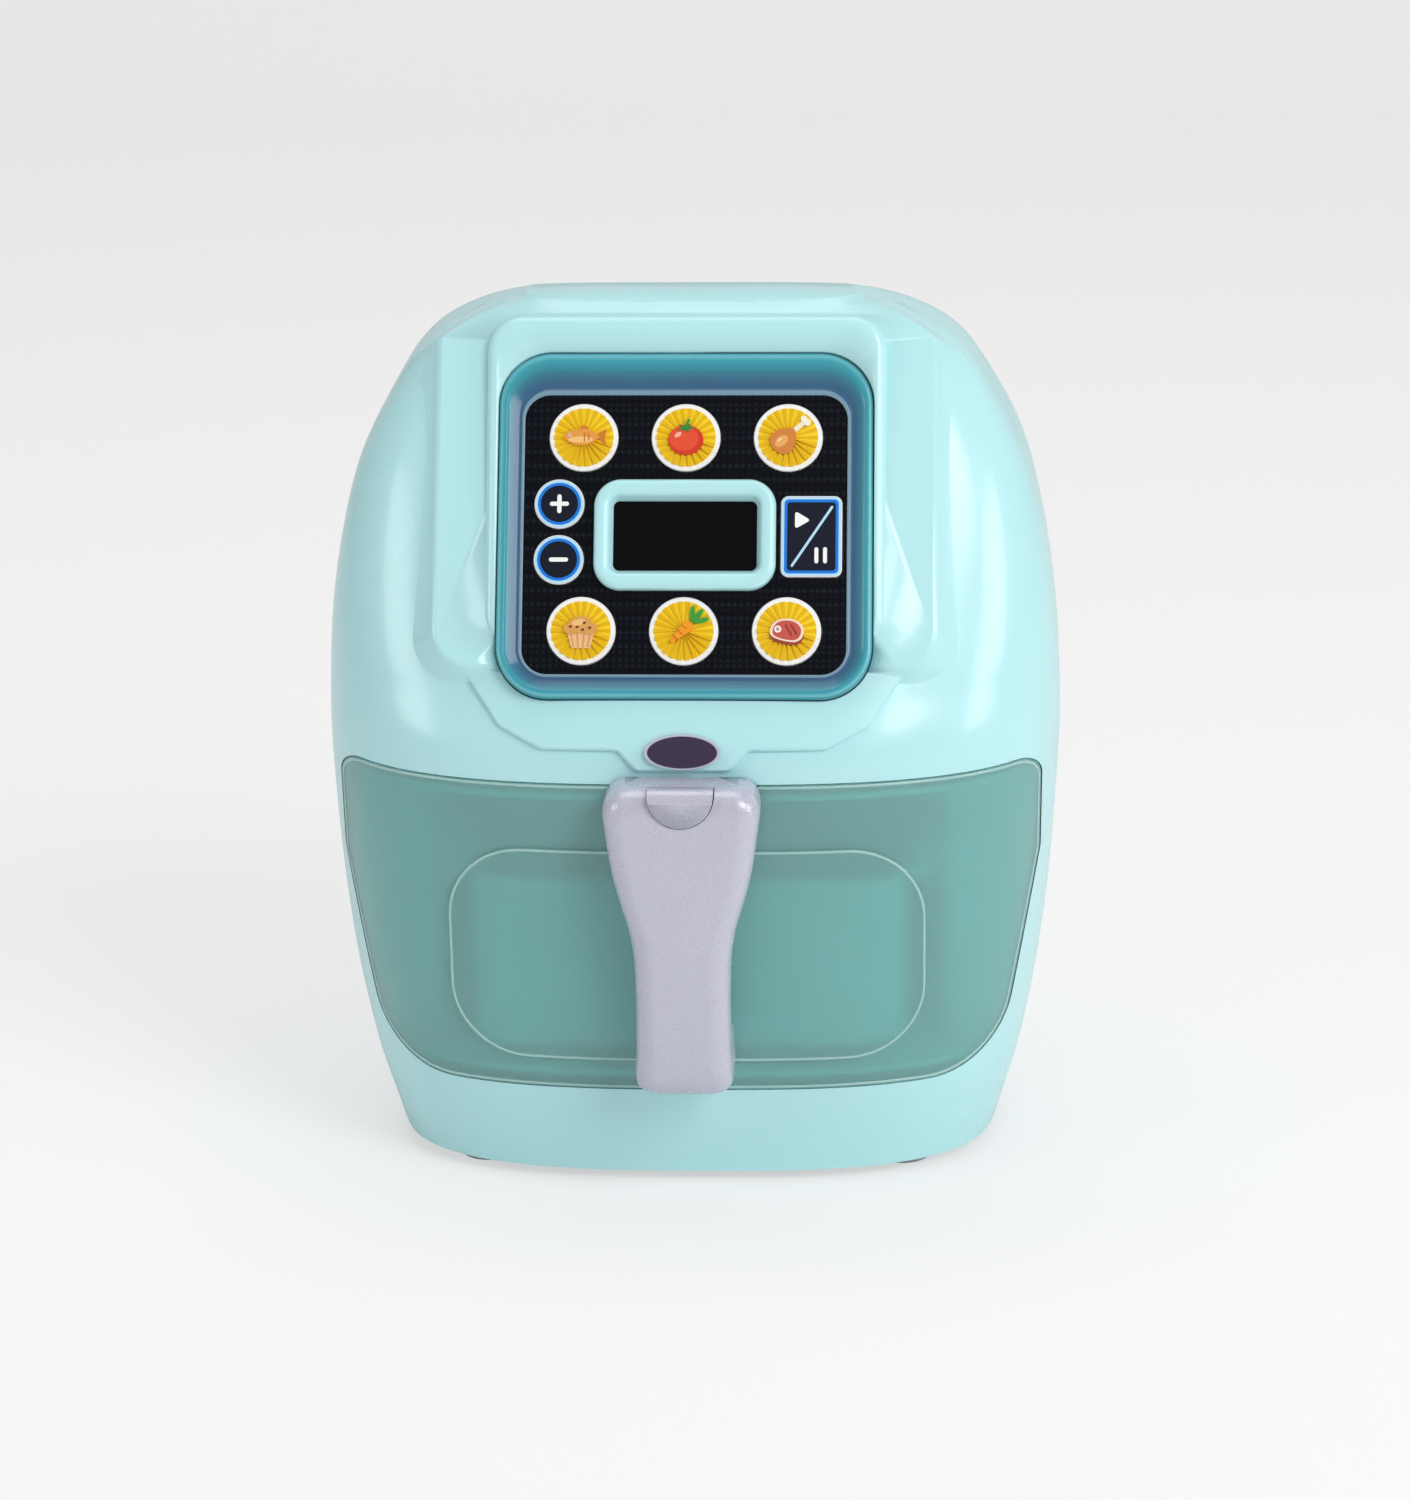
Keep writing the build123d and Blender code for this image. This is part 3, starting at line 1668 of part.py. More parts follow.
with BuildPart() as speaker_wires:
    for step in (0, 1):
        shift = step * wire_pitch
        add(
            wire(
                [
                    Vector(shift, basket_back - magnet_depth, speaker_z + magnet_radius / 2),
                    Vector(shift, chamber_back_y / 2, wire_turn_z),
                    board_rear.from_local_coords((shift, -wire_board_s, 0)),
                ]
            )
        )
keep(speaker_wires.part, "speaker_wires")
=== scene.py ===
"""The looks of a toy air fryer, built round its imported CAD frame.

Lengths inside the classes are in millimetres and become metres when a mesh is made.
"""

import logging
import math
from collections.abc import Sequence
from dataclasses import dataclass, field
from enum import Enum

import bmesh
import bpy
import numpy as np
from mathutils import Matrix, Vector


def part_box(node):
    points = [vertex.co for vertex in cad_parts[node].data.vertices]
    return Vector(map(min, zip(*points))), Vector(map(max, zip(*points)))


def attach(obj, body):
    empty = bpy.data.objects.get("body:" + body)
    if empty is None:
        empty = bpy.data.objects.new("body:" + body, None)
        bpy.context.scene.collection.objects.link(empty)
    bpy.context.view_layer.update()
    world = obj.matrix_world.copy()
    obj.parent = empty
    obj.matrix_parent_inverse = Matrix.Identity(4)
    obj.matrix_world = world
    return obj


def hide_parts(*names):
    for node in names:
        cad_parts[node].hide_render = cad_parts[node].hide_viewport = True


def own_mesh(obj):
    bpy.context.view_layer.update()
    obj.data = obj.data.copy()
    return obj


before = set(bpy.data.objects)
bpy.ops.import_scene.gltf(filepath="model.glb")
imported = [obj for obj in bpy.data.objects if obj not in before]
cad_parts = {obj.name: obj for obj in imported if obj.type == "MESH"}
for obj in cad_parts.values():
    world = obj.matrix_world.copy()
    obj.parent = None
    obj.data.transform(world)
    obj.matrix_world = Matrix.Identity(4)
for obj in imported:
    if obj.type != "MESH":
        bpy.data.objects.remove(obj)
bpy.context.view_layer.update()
LOG = logging.getLogger("air_fryer")
MM = 0.001
JOIN_REACH = 1e-6
ON_SURFACE = 0.25
SAME_WAY = 0.92

Colour = tuple[float, float, float]
Outline = np.ndarray
Picture = list[tuple[Outline, Colour]]
Socket = bpy.types.NodeSocket


class Grain(Enum):
    """How a finish's fine surface looks."""

    SMOOTH = "smooth"
    SPARK = "spark"
    BRUSHED = "brushed"
    PAPER = "paper"


# Finishes


def fill(node: bpy.types.Node, inputs: dict[str | int, object]) -> None:
    """Fills a node's inputs: another node's output is linked and a plain value is set.

    Args:
        node: The node.
        inputs: What goes into each input, by the input's name or place.
    """
    for name, value in inputs.items():
        if isinstance(value, bpy.types.NodeSocket):
            node.id_data.links.new(value, node.inputs[name])
        else:
            node.inputs[name].default_value = value


def add_node(
    owner: bpy.types.Material | bpy.types.World,
    kind: str,
    inputs: dict[str | int, object] | None = None,
) -> bpy.types.Node:
    """Adds a node and fills its inputs.

    Args:
        owner: The material or the world that gets it.
        kind: The node's kind, without ShaderNode before it.
        inputs: What goes into its inputs.

    Returns:
        The new node.
    """
    node = owner.node_tree.nodes.new(f"ShaderNode{kind}")
    fill(node, inputs or {})
    return node


def mixed(material: bpy.types.Material, share: Socket, first: Colour, second: Colour) -> Socket:
    """Mixes two colours.

    Args:
        material: The material that gets the node.
        share: How far the mix goes from the first colour to the second.
        first: The colour where the share is none.
        second: The colour where the share is one.

    Returns:
        The output that carries the mix.
    """
    mix = add_node(material, "Mix")
    mix.data_type = "RGBA"
    fill(mix, {"Factor": share, "A": (*first, 1.0), "B": (*second, 1.0)})
    return mix.outputs["Result"]


@dataclass(frozen=True)
class Finish:
    """A moulded, printed or metal surface, with its own small unevenness.

    The colour drifts between two near shades on a soft noise, a finer noise moves the
    roughness, and a fine grain gives the bump. The scales count humps per metre.
    """

    name: str
    colour: Colour
    drift: Colour
    roughness: float = 0.3
    roughness_swing: float = 0.08
    drift_scale: float = 18.0
    grain: Grain = Grain.SMOOTH
    grain_scale: float = 900.0
    bump: float = 0.02
    bump_depth: float = 0.0004
    metallic: float = 0.0
    transmission: float = 0.0
    ior: float = 1.46
    subsurface: float = 0.0
    subsurface_depth: float = 0.004
    coat: float = 0.0
    coat_roughness: float = 0.12
    shine: float = 0.5

    def build(self) -> bpy.types.Material:
        """Makes the material, or gives the one already made.

        Returns:
            The material with its nodes.
        """
        known = bpy.data.materials.get(self.name)
        if known:
            return known
        material = bpy.data.materials.new(self.name)
        material.use_nodes = True
        stretch = (1.0, 1.0, 0.06) if self.grain is Grain.BRUSHED else (1.0, 1.0, 1.0)
        place = add_node(material, "TexCoord")
        spread = add_node(
            material, "Mapping", {"Vector": place.outputs["Object"], "Scale": stretch}
        )
        soft, fine = (
            add_node(
                material,
                "TexNoise",
                {"Vector": spread.outputs["Vector"], "Scale": scale, "Detail": detail},
            ).outputs["Fac"]
            for scale, detail in ((self.drift_scale, 3.0), (self.grain_scale, 2.0))
        )
        rough = add_node(
            material,
            "MapRange",
            {
                "Value": soft if self.grain is Grain.SMOOTH else fine,
                "To Min": max(self.roughness - self.roughness_swing, 0.02),
                "To Max": self.roughness + self.roughness_swing,
            },
        )
        height = add_node(
            material,
            "Bump",
            {"Height": fine, "Strength": self.bump, "Distance": self.bump_depth},
        )
        inputs = {
            "Base Color": self._colour(material, soft),
            "Roughness": rough.outputs["Result"],
            "Normal": height.outputs["Normal"],
            "Metallic": self.metallic,
            "IOR": self.ior,
            "Transmission Weight": self.transmission,
            "Specular IOR Level": self.shine,
            "Coat Weight": self.coat,
            "Coat Roughness": self.coat_roughness,
        }
        if self.subsurface > 0:
            inputs["Subsurface Weight"] = self.subsurface
            inputs["Subsurface Radius"] = (0.6, 0.9, 1.0)
            inputs["Subsurface Scale"] = self.subsurface_depth
        fill(material.node_tree.nodes["Principled BSDF"], inputs)
        return material

    def _colour(self, material: bpy.types.Material, soft: Socket) -> Socket:
        """Mixes the two shades on the soft noise.

        Args:
            material: The material that gets the nodes.
            soft: The noise that the mix follows.

        Returns:
            The output that carries the colour.
        """
        return mixed(material, soft, self.colour, self.drift)


@dataclass(frozen=True)
class InkFinish(Finish):
    """A face whose colour comes from the mesh's own ink attribute, with a faint drift: print on
    the keys, and on the bezel its tones with a painted highlight and painted shade.
    """

    colour: Colour = (1.0, 1.0, 1.0)
    drift: Colour = (1.0, 1.0, 1.0)
    least: float = 0.94

    def _colour(self, material: bpy.types.Material, soft: Socket) -> Socket:
        """Multiplies the ink by a value that drifts a little with the soft noise.

        Args:
            material: The material that gets the nodes.
            soft: The noise that the value follows.

        Returns:
            The output that carries the colour.
        """
        ink = add_node(material, "Attribute")
        ink.attribute_name = "ink"
        shade = add_node(
            material, "MapRange", {"Value": soft, "To Min": self.least, "To Max": 1.0}
        )
        scale = add_node(material, "VectorMath")
        scale.operation = "SCALE"
        fill(scale, {0: ink.outputs["Color"], "Scale": shade.outputs["Result"]})
        return scale.outputs["Vector"]


@dataclass(frozen=True)
class DottedFinish(Finish):
    """A dark panel with a faint print of small dots in rows."""

    dot_scale: float = 620.0
    dot_reach: float = 0.25
    dot_end: float = 0.45

    def _colour(self, material: bpy.types.Material, soft: Socket) -> Socket:
        """Mixes the two shades where a rounded cell pattern is near its cell's middle.

        Args:
            material: The material that gets the nodes.
            soft: The noise, which the dots don't follow.

        Returns:
            The output that carries the colour.
        """
        place = add_node(material, "TexCoord")
        cells = add_node(
            material,
            "TexVoronoi",
            {"Vector": place.outputs["Object"], "Scale": self.dot_scale, "Randomness": 0.0},
        )
        ramp = add_node(
            material,
            "MapRange",
            {
                "Value": cells.outputs["Distance"],
                "From Min": self.dot_reach,
                "From Max": self.dot_end,
            },
        )
        return mixed(material, ramp.outputs["Result"], self.drift, self.colour)


@dataclass(frozen=True)
class RimmedFinish(Finish):
    """A dark oval plate with a thin pale rim.

    The rim shows where (x / half width) squared plus ((z - middle) / half height) squared,
    in the object's own coordinates, goes past a share.
    """

    rim: Colour = (0.5, 0.52, 0.62)
    half_width: float = 9.7
    half_height: float = 4.25
    middle: float = 122.3
    rim_share: float = 0.84
    rim_blur: float = 0.02

    def _colour(self, material: bpy.types.Material, soft: Socket) -> Socket:
        """Mixes the plate's colour and the rim's on the oval's own measure.

        Args:
            material: The material that gets the nodes.
            soft: The noise, which the rim doesn't follow.

        Returns:
            The output that carries the colour.
        """
        wide, high = 1 / (self.half_width * MM), 1 / (self.half_height * MM)
        place = add_node(material, "TexCoord")
        scale = add_node(
            material,
            "Mapping",
            {
                "Vector": place.outputs["Object"],
                "Scale": (wide, 0.0, high),
                "Location": (0.0, 0.0, -self.middle * MM * high),
            },
        )
        reach = add_node(material, "VectorMath")
        reach.operation = "DOT_PRODUCT"
        fill(reach, {0: scale.outputs["Vector"], 1: scale.outputs["Vector"]})
        edge = add_node(
            material,
            "MapRange",
            {
                "Value": reach.outputs["Value"],
                "From Min": self.rim_share - self.rim_blur,
                "From Max": self.rim_share + self.rim_blur,
            },
        )
        return mixed(material, edge.outputs["Result"], self.colour, self.rim)


MINT = Finish(
    "mint_shell",
    (0.476, 0.806, 0.836),
    (0.480, 0.810, 0.840),
    0.27,
    0.01,
    bump=0.008,
    subsurface=0.1,
    coat=0.3,
)
MINT_INNER = Finish(
    "mint_inner", (0.36, 0.68, 0.68), (0.39, 0.71, 0.71), 0.42, 0.08, drift_scale=300.0, bump=0.05
)
FROSTED = Finish(
    "frosted_panel",
    (0.40, 0.86, 0.83),
    (0.44, 0.89, 0.86),
    0.3,
    0.04,
    grain_scale=1600.0,
    bump=0.03,
    transmission=0.72,
    coat=0.4,
)
# A pale finish for the thin lines on the drawer's front: a painted highlight along the edges of
# the panel and of its raised middle.
PANEL_HIGHLIGHT_LINE = Finish(
    "painted_highlight_line",
    (0.46, 0.76, 0.73),
    (0.52, 0.81, 0.78),
    0.2,
    0.05,
    bump=0.01,
    transmission=0.3,
    coat=0.4,
)
# The bezel's finish: its colour comes from the ink attribute, which holds a painted highlight on
# the crest and painted shade at the outer edge.
CLEAR_BLUE = InkFinish(
    "clear_blue",
    roughness=0.14,
    roughness_swing=0.04,
    transmission=0.2,
    shine=0.3,
    bump=0.01,
)
PANEL = DottedFinish(
    "dark_panel", (0.003, 0.0035, 0.006), (0.010, 0.012, 0.020), 0.3, 0.05, shine=0.12, bump=0.005
)
PRINT = InkFinish("printed_faces", roughness=0.32, roughness_swing=0.05, bump=0.01, shine=0.3)
PRINT_RIM = Finish("key_sides", (0.74, 0.74, 0.72), (0.80, 0.80, 0.78), 0.35, 0.06)
LENS = Finish("dark_lens", (0.001, 0.001, 0.0015), (0.002, 0.002, 0.003), 0.06, 0.02, shine=0.18)
HANDLE = Finish(
    "lavender_grey",
    (0.49, 0.485, 0.59),
    (0.56, 0.555, 0.66),
    0.26,
    0.08,
    grain=Grain.SPARK,
    grain_scale=1700.0,
    bump=0.3,
    metallic=0.1,
    shine=0.8,
    coat=0.25,
)
BADGE = RimmedFinish(
    "badge_face", (0.040, 0.024, 0.060), (0.045, 0.028, 0.066), 0.2, 0.05, coat=0.5
)
MILKY = Finish("milky_plastic", (0.80, 0.80, 0.76), (0.86, 0.86, 0.82), 0.5, 0.08, subsurface=0.4)
RUBBER = Finish("grey_rubber", (0.20, 0.21, 0.22), (0.24, 0.25, 0.26), 0.75, 0.1, bump=0.15)
FOOT_RUBBER = Finish("foot_rubber", (0.42, 0.45, 0.46), (0.48, 0.5, 0.51), 0.7, 0.12, bump=0.2)
BOARD = Finish(
    "board_lacquer", (0.012, 0.09, 0.035), (0.02, 0.14, 0.05), 0.35, 0.1, drift_scale=260.0
)
RESIN = Finish("black_resin", (0.01, 0.01, 0.01), (0.02, 0.02, 0.02), 0.18, 0.06)
STEEL = Finish(
    "plated_steel",
    (0.60, 0.60, 0.60),
    (0.68, 0.67, 0.65),
    roughness_swing=0.1,
    grain=Grain.BRUSHED,
    metallic=1.0,
)
LAMP = Finish("clear_lamp", (0.85, 0.84, 0.66), (0.9, 0.88, 0.7), 0.2, 0.06, transmission=0.4)
CELL = Finish("cell_sleeve", (0.03, 0.035, 0.045), (0.05, 0.055, 0.07), 0.3, 0.08, metallic=0.4)
BLACK = Finish("black_plastic", (0.02, 0.02, 0.022), (0.032, 0.032, 0.035), 0.45, 0.1, bump=0.1)
CONE_PAPER = Finish(
    "cone_paper", (0.03, 0.028, 0.026), (0.05, 0.046, 0.042), 0.85, grain=Grain.PAPER, bump=0.4
)
MAGNET = Finish("magnet", (0.09, 0.09, 0.1), (0.14, 0.14, 0.15), 0.5, 0.12, metallic=0.8)
RED_WIRE = Finish("red_insulation", (0.45, 0.02, 0.02), (0.5, 0.03, 0.03), 0.5, 0.08)
TRAY = Finish("pale_tray", (0.52, 0.54, 0.60), (0.58, 0.60, 0.66), 0.35, 0.1, bump=0.05)


# The rounded body as a surface


@dataclass(frozen=True)
class Barrel:
    """The body's outer surface, in millimetres.

    A point lies on it where (|x| / w) to the power p plus (|y - girth| / d) to the power p
    is one, with the half width w, the depth d and the power p read at the point's height
    from a smooth curve through the rows.
    """

    half_width: float = 96.5
    front_depth: float = 71.0
    back_depth: float = 77.0
    girth_y: float = 5.5
    foot: float = 3.0
    height: float = 227.0
    rows: tuple[tuple[float, ...], ...] = (
        (0.000, 0.828, 0.800, 0.820, 2.9),
        (0.120, 0.907, 0.905, 0.910, 2.9),
        (0.255, 0.960, 0.965, 0.965, 2.9),
        (0.388, 0.988, 0.993, 0.993, 2.9),
        (0.509, 1.000, 1.000, 1.000, 2.9),
        (0.589, 0.994, 0.900, 0.985, 3.1),
        (0.656, 0.980, 0.790, 0.950, 3.4),
        (0.790, 0.918, 0.600, 0.820, 3.8),
        (0.902, 0.793, 0.445, 0.610, 4.0),
        (0.951, 0.706, 0.355, 0.420, 4.0),
        (0.982, 0.570, 0.285, 0.290, 4.0),
        (1.000, 0.450, 0.220, 0.090, 4.0),
    )

    def sizes(self, z: np.ndarray) -> np.ndarray:
        """Half width, front depth and back depth as shares, and the power, at each height.

        Between two rows it is a cubic whose slope at a row is the harmonic mean of the
        rises on its two sides, so it never overshoots a row.

        Args:
            z: Heights over the standing surface.

        Returns:
            Four by the number of heights.
        """
        table = np.array(self.rows).T
        at, values = table[0], table[1:]
        share = np.clip((z - self.foot) / (self.height - self.foot), 0, 1)
        rises = np.diff(values, axis=1) / np.diff(at)
        product = rises[:, :-1] * rises[:, 1:]
        total = rises[:, :-1] + rises[:, 1:]
        inner = np.where(product > 0, 2 * product / np.where(product > 0, total, 1), 0)
        slopes = np.concatenate([rises[:, :1], inner, rises[:, -1:]], axis=1)
        below = np.clip(np.searchsorted(at, share, side="right") - 1, 0, len(at) - 2)
        step = at[below + 1] - at[below]
        part = (share - at[below]) / step
        rest = 1 - part
        return (
            values[:, below] * (1 + 2 * part) * rest**2
            + values[:, below + 1] * (1 + 2 * rest) * part**2
            + step * slopes[:, below] * part * rest**2
            - step * slopes[:, below + 1] * rest * part**2
        )

    def measure(self, points: np.ndarray, grow: float) -> np.ndarray:
        """One on the surface grown by a distance, less inside and more outside.

        Args:
            points: Points by 3.
            grow: How far the surface lies outside the barrel.

        Returns:
            One value per point.
        """
        wide, fore, aft, power = self.sizes(points[:, 2])
        y = points[:, 1] - self.girth_y
        depth = np.where(y > 0, aft * self.back_depth, fore * self.front_depth) + grow
        across = np.abs(points[:, 0]) / (wide * self.half_width + grow)
        return (across**power + (np.abs(y) / depth) ** power) ** (1 / power)

    def slope(self, points: np.ndarray, grow: float) -> np.ndarray:
        """How fast the measure rises along each axis, from small steps to both sides.

        Args:
            points: Points by 3.
            grow: How far the surface lies outside the barrel.

        Returns:
            Points by 3.
        """
        step = 0.05
        sides = [
            (self.measure(points + step * axis, grow) - self.measure(points - step * axis, grow))
            / (2 * step)
            for axis in np.eye(3)
        ]
        return np.stack(sides, axis=-1)

    def front_y(self, x: np.ndarray, z: np.ndarray, grow: float) -> np.ndarray:
        """Where the front lies: girth less depth times the share left over by the width.

        Args:
            x: Across.
            z: Heights over the standing surface.
            grow: How far the surface lies outside the barrel.

        Returns:
            One place from front to back for each point.
        """
        wide, fore, _, power = self.sizes(z)
        across = np.clip(np.abs(x) / (wide * self.half_width + grow), 0, 1)
        return self.girth_y - (fore * self.front_depth + grow) * (1 - across**power) ** (1 / power)


BARREL = Barrel()


# Making pieces


def dress(piece: bpy.types.Object, finish: Finish) -> None:
    """Gives an object one finish all over.

    Args:
        piece: The object.
        finish: Its finish.
    """
    material = finish.build()
    piece.data.materials.clear()
    piece.data.materials.append(material)


def new_piece(
    name: str, mesh: bpy.types.Mesh, finish: Finish, body: str
) -> bpy.types.Object:
    """Puts a mesh into the scene as a finished piece.

    Args:
        name: The piece's name.
        mesh: Its mesh, with its place in its vertices.
        finish: Its finish.
        body: The CAD body that it rides on.

    Returns:
        The new object.
    """
    piece = bpy.data.objects.new(name, mesh)
    bpy.context.scene.collection.objects.link(piece)
    dress(piece, finish)
    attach(piece, body)
    LOG.info("piece %s on %s, %d faces", name, body, len(mesh.polygons))
    return piece


def smooth_copy(node: str, name: str, angle: float) -> bpy.types.Mesh:
    """A CAD node's mesh with its loose triangles joined and its soft edges smoothed.

    Args:
        node: The CAD node.
        name: The new mesh's name.
        angle: Edges sharper than this many degrees stay sharp.

    Returns:
        The new mesh.
    """
    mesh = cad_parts[node].data.copy()
    mesh.name = name
    work = bmesh.new()
    work.from_mesh(mesh)
    bmesh.ops.remove_doubles(work, verts=work.verts, dist=JOIN_REACH)
    work.to_mesh(mesh)
    work.free()
    mesh.polygons.foreach_set("use_smooth", np.ones(len(mesh.polygons), bool))
    mesh.set_sharp_from_angle(angle=math.radians(angle))
    mesh.update()
    return mesh


def true_normals(mesh: bpy.types.Mesh, grows: tuple[float, ...]) -> None:
    """Shades the corners that lie on the barrel by the barrel's own direction.

    A face's corner counts where it lies within a quarter of a millimetre of the surface
    grown by one of the distances, and its face looks the same way.

    Args:
        mesh: The mesh to shade.
        grows: How far the surfaces lie outside the barrel, in millimetres.
    """
    places = np.empty(3 * len(mesh.vertices), np.float32)
    mesh.vertices.foreach_get("co", places)
    points = places.reshape(-1, 3).astype(float) / MM
    corner = np.empty(len(mesh.loops), np.int32)
    mesh.loops.foreach_get("vertex_index", corner)
    total = np.empty(len(mesh.polygons), np.int32)
    mesh.polygons.foreach_get("loop_total", total)
    facing = np.empty(3 * len(mesh.polygons), np.float32)
    mesh.polygons.foreach_get("normal", facing)
    facing = np.repeat(facing.reshape(-1, 3), total, axis=0)
    shading = np.empty(3 * len(mesh.loops), np.float32)
    mesh.corner_normals.foreach_get("vector", shading)
    shading = shading.reshape(-1, 3)
    for grow in grows:
        slope = BARREL.slope(points, grow)
        steep = np.linalg.norm(slope, axis=1)
        near = (np.abs(BARREL.measure(points, grow) - 1) < ON_SURFACE * steep)[corner]
        outward = (slope / steep[:, None])[corner]
        same = np.sum(outward * facing, axis=1) > SAME_WAY
        shading = np.where((near & same)[:, None], outward, shading)
    mesh.normals_split_custom_set(shading.tolist())


def grid_mesh(name: str, points: np.ndarray, closed: bool) -> bpy.types.Mesh:
    """A mesh of quads over a grid of points.

    Args:
        name: The mesh's name.
        points: Rows by columns by 3, in millimetres. The columns close on themselves.
        closed: Whether the rows close on themselves too. Otherwise the first and the last
            row are points, so that the mesh still holds a volume.

    Returns:
        The mesh, in metres.
    """
    rows, columns = points.shape[:2]
    row = np.arange(rows if closed else rows - 1)[:, None]
    column = np.arange(columns)[None, :]
    after_row = (row + 1) % rows
    after_column = (column + 1) % columns
    quads = np.stack(
        np.broadcast_arrays(
            row * columns + column,
            row * columns + after_column,
            after_row * columns + after_column,
            after_row * columns + column,
        ),
        axis=-1,
    ).reshape(-1, 4)
    flat = points.reshape(-1, 3)
    a, b, c, d = (flat[quads[:, corner]] for corner in range(4))
    volume = np.sum(a * np.cross(b, c) + a * np.cross(c, d))
    if volume < 0:
        quads = quads[:, ::-1]
    return quad_mesh(name, flat, quads)


def quad_mesh(name: str, points: np.ndarray, quads: np.ndarray) -> bpy.types.Mesh:
    """A smooth mesh from points in millimetres and faces of four corners each.

    Args:
        name: The mesh's name.
        points: Points by 3.
        quads: Faces by 4, as places in the points.

    Returns:
        The mesh, in metres.
    """
    mesh = bpy.data.meshes.new(name)
    mesh.vertices.add(len(points))
    mesh.vertices.foreach_set("co", (points * MM).astype(np.float32).ravel())
    mesh.loops.add(quads.size)
    mesh.loops.foreach_set("vertex_index", quads.astype(np.int32).ravel())
    mesh.polygons.add(len(quads))
    mesh.polygons.foreach_set("loop_start", np.arange(0, quads.size, 4, dtype=np.int32))
    mesh.polygons.foreach_set("use_smooth", np.ones(len(quads), bool))
    mesh.update(calc_edges=True)
    mesh.validate()
    return mesh


def paint(mesh: bpy.types.Mesh, colours: np.ndarray) -> None:
    """Writes one colour per vertex to the mesh's ink attribute.

    Args:
        mesh: The mesh.
        colours: Vertices by 3.
    """
    ink = mesh.color_attributes.new("ink", "FLOAT_COLOR", "POINT")
    full = np.concatenate([colours, np.ones((len(colours), 1))], axis=1)
    ink.data.foreach_set("color", full.astype(np.float32).ravel())


# The console's own plane, its outlines and its prints


@dataclass(frozen=True)
class Console:
    """The leaning plane that holds the window, in millimetres.

    A point is its origin plus x across, s up along the face and h out of it.
    """

    y: float = -42.5
    z: float = 170.0
    lean: float = math.radians(26.0)

    def place(self, x: np.ndarray, s: np.ndarray, h: np.ndarray) -> np.ndarray:
        """Turns places in the plane into points.

        Args:
            x: Across, to the right.
            s: Up along the face.
            h: Out of the face.

        Returns:
            The points, one per place.
        """
        cos, sin = math.cos(self.lean), math.sin(self.lean)
        x, s, h = np.broadcast_arrays(x, s, h)
        return np.stack([x, self.y + s * sin - h * cos, self.z + s * cos + h * sin], axis=-1)


CONSOLE = Console()


def rounded_rectangle(
    half_width: np.ndarray, low: np.ndarray, high: np.ndarray, corner: np.ndarray, steps: int
) -> Outline:
    """Closed outlines with round corners, one per entry of the sizes.

    Each corner is a quarter turn about its own centre, so a point is the corner's centre
    plus its radius times the turn's cosine and sine.

    Args:
        half_width: Half the width.
        low: How far it goes down from the middle.
        high: How far it goes up from the middle.
        corner: The corner's radius.
        steps: Points in each corner.

    Returns:
        Sizes by points by 2.
    """
    half_width, low, high, corner = (
        np.atleast_1d(np.asarray(size, float))[:, None] for size in (half_width, low, high, corner)
    )
    turn = np.concatenate([k * np.pi / 2 + np.linspace(0, np.pi / 2, steps) for k in range(4)])
    right = np.repeat([1, -1, -1, 1], steps)[None, :]
    above = np.repeat([1, 1, -1, -1], steps)[None, :]
    x = right * (half_width - corner) + corner * np.cos(turn)[None, :]
    reach = np.where(above > 0, high, -low)
    y = reach - above * corner + corner * np.sin(turn)[None, :]
    return np.stack([x, y], axis=-1)


def circle(x: float, y: float, radius: float, steps: int = 64) -> Outline:
    """A circle's points: its centre plus the radius times the turn's cosine and sine."""
    return ellipse(x, y, radius, radius, 0.0, steps)


def ellipse(
    x: float, y: float, wide: float, high: float, lean: float = 0.0, steps: int = 48
) -> Outline:
    """A leaning ellipse: a stretched circle, turned about its centre.

    Args:
        x: The centre across.
        y: The centre up.
        wide: Half its width.
        high: Half its height.
        lean: How far it is turned, in degrees.
        steps: Points round it.

    Returns:
        Points by 2.
    """
    turn = np.linspace(0, 2 * np.pi, steps, endpoint=False)
    a, b = wide * np.cos(turn), high * np.sin(turn)
    cos, sin = math.cos(math.radians(lean)), math.sin(math.radians(lean))
    return np.stack([x + a * cos - b * sin, y + a * sin + b * cos], axis=-1)


def bar(x0: float, y0: float, x1: float, y1: float, half: float, steps: int = 9) -> Outline:
    """A straight bar with round ends: two half circles joined, square to its own line.

    Args:
        x0: One end across.
        y0: One end up.
        x1: The other end across.
        y1: The other end up.
        half: Half its width.
        steps: Points round each end.

    Returns:
        Points by 2.
    """
    along = math.atan2(y1 - y0, x1 - x0)
    far = np.linspace(along - np.pi / 2, along + np.pi / 2, steps)
    near = far + np.pi
    turn = np.concatenate([far, near])
    x = np.where(np.arange(2 * steps) < steps, x1, x0) + half * np.cos(turn)
    y = np.where(np.arange(2 * steps) < steps, y1, y0) + half * np.sin(turn)
    return np.stack([x, y], axis=-1)


def soft_polygon(
    corners: Sequence[tuple[float, float]], share: float = 0.25, rounds: int = 3
) -> Outline:
    """A polygon whose corners are cut by a share of each side, a few times over.

    Args:
        corners: The corners.
        share: How much of a side each cut takes.
        rounds: How often they are cut.

    Returns:
        Points by 2.
    """
    points = np.array(corners, float)
    for _ in range(rounds):
        after = np.roll(points, -1, axis=0)
        points = np.stack(
            [points * (1 - share) + after * share, points * share + after * (1 - share)], axis=1
        ).reshape(-1, 2)
    return points


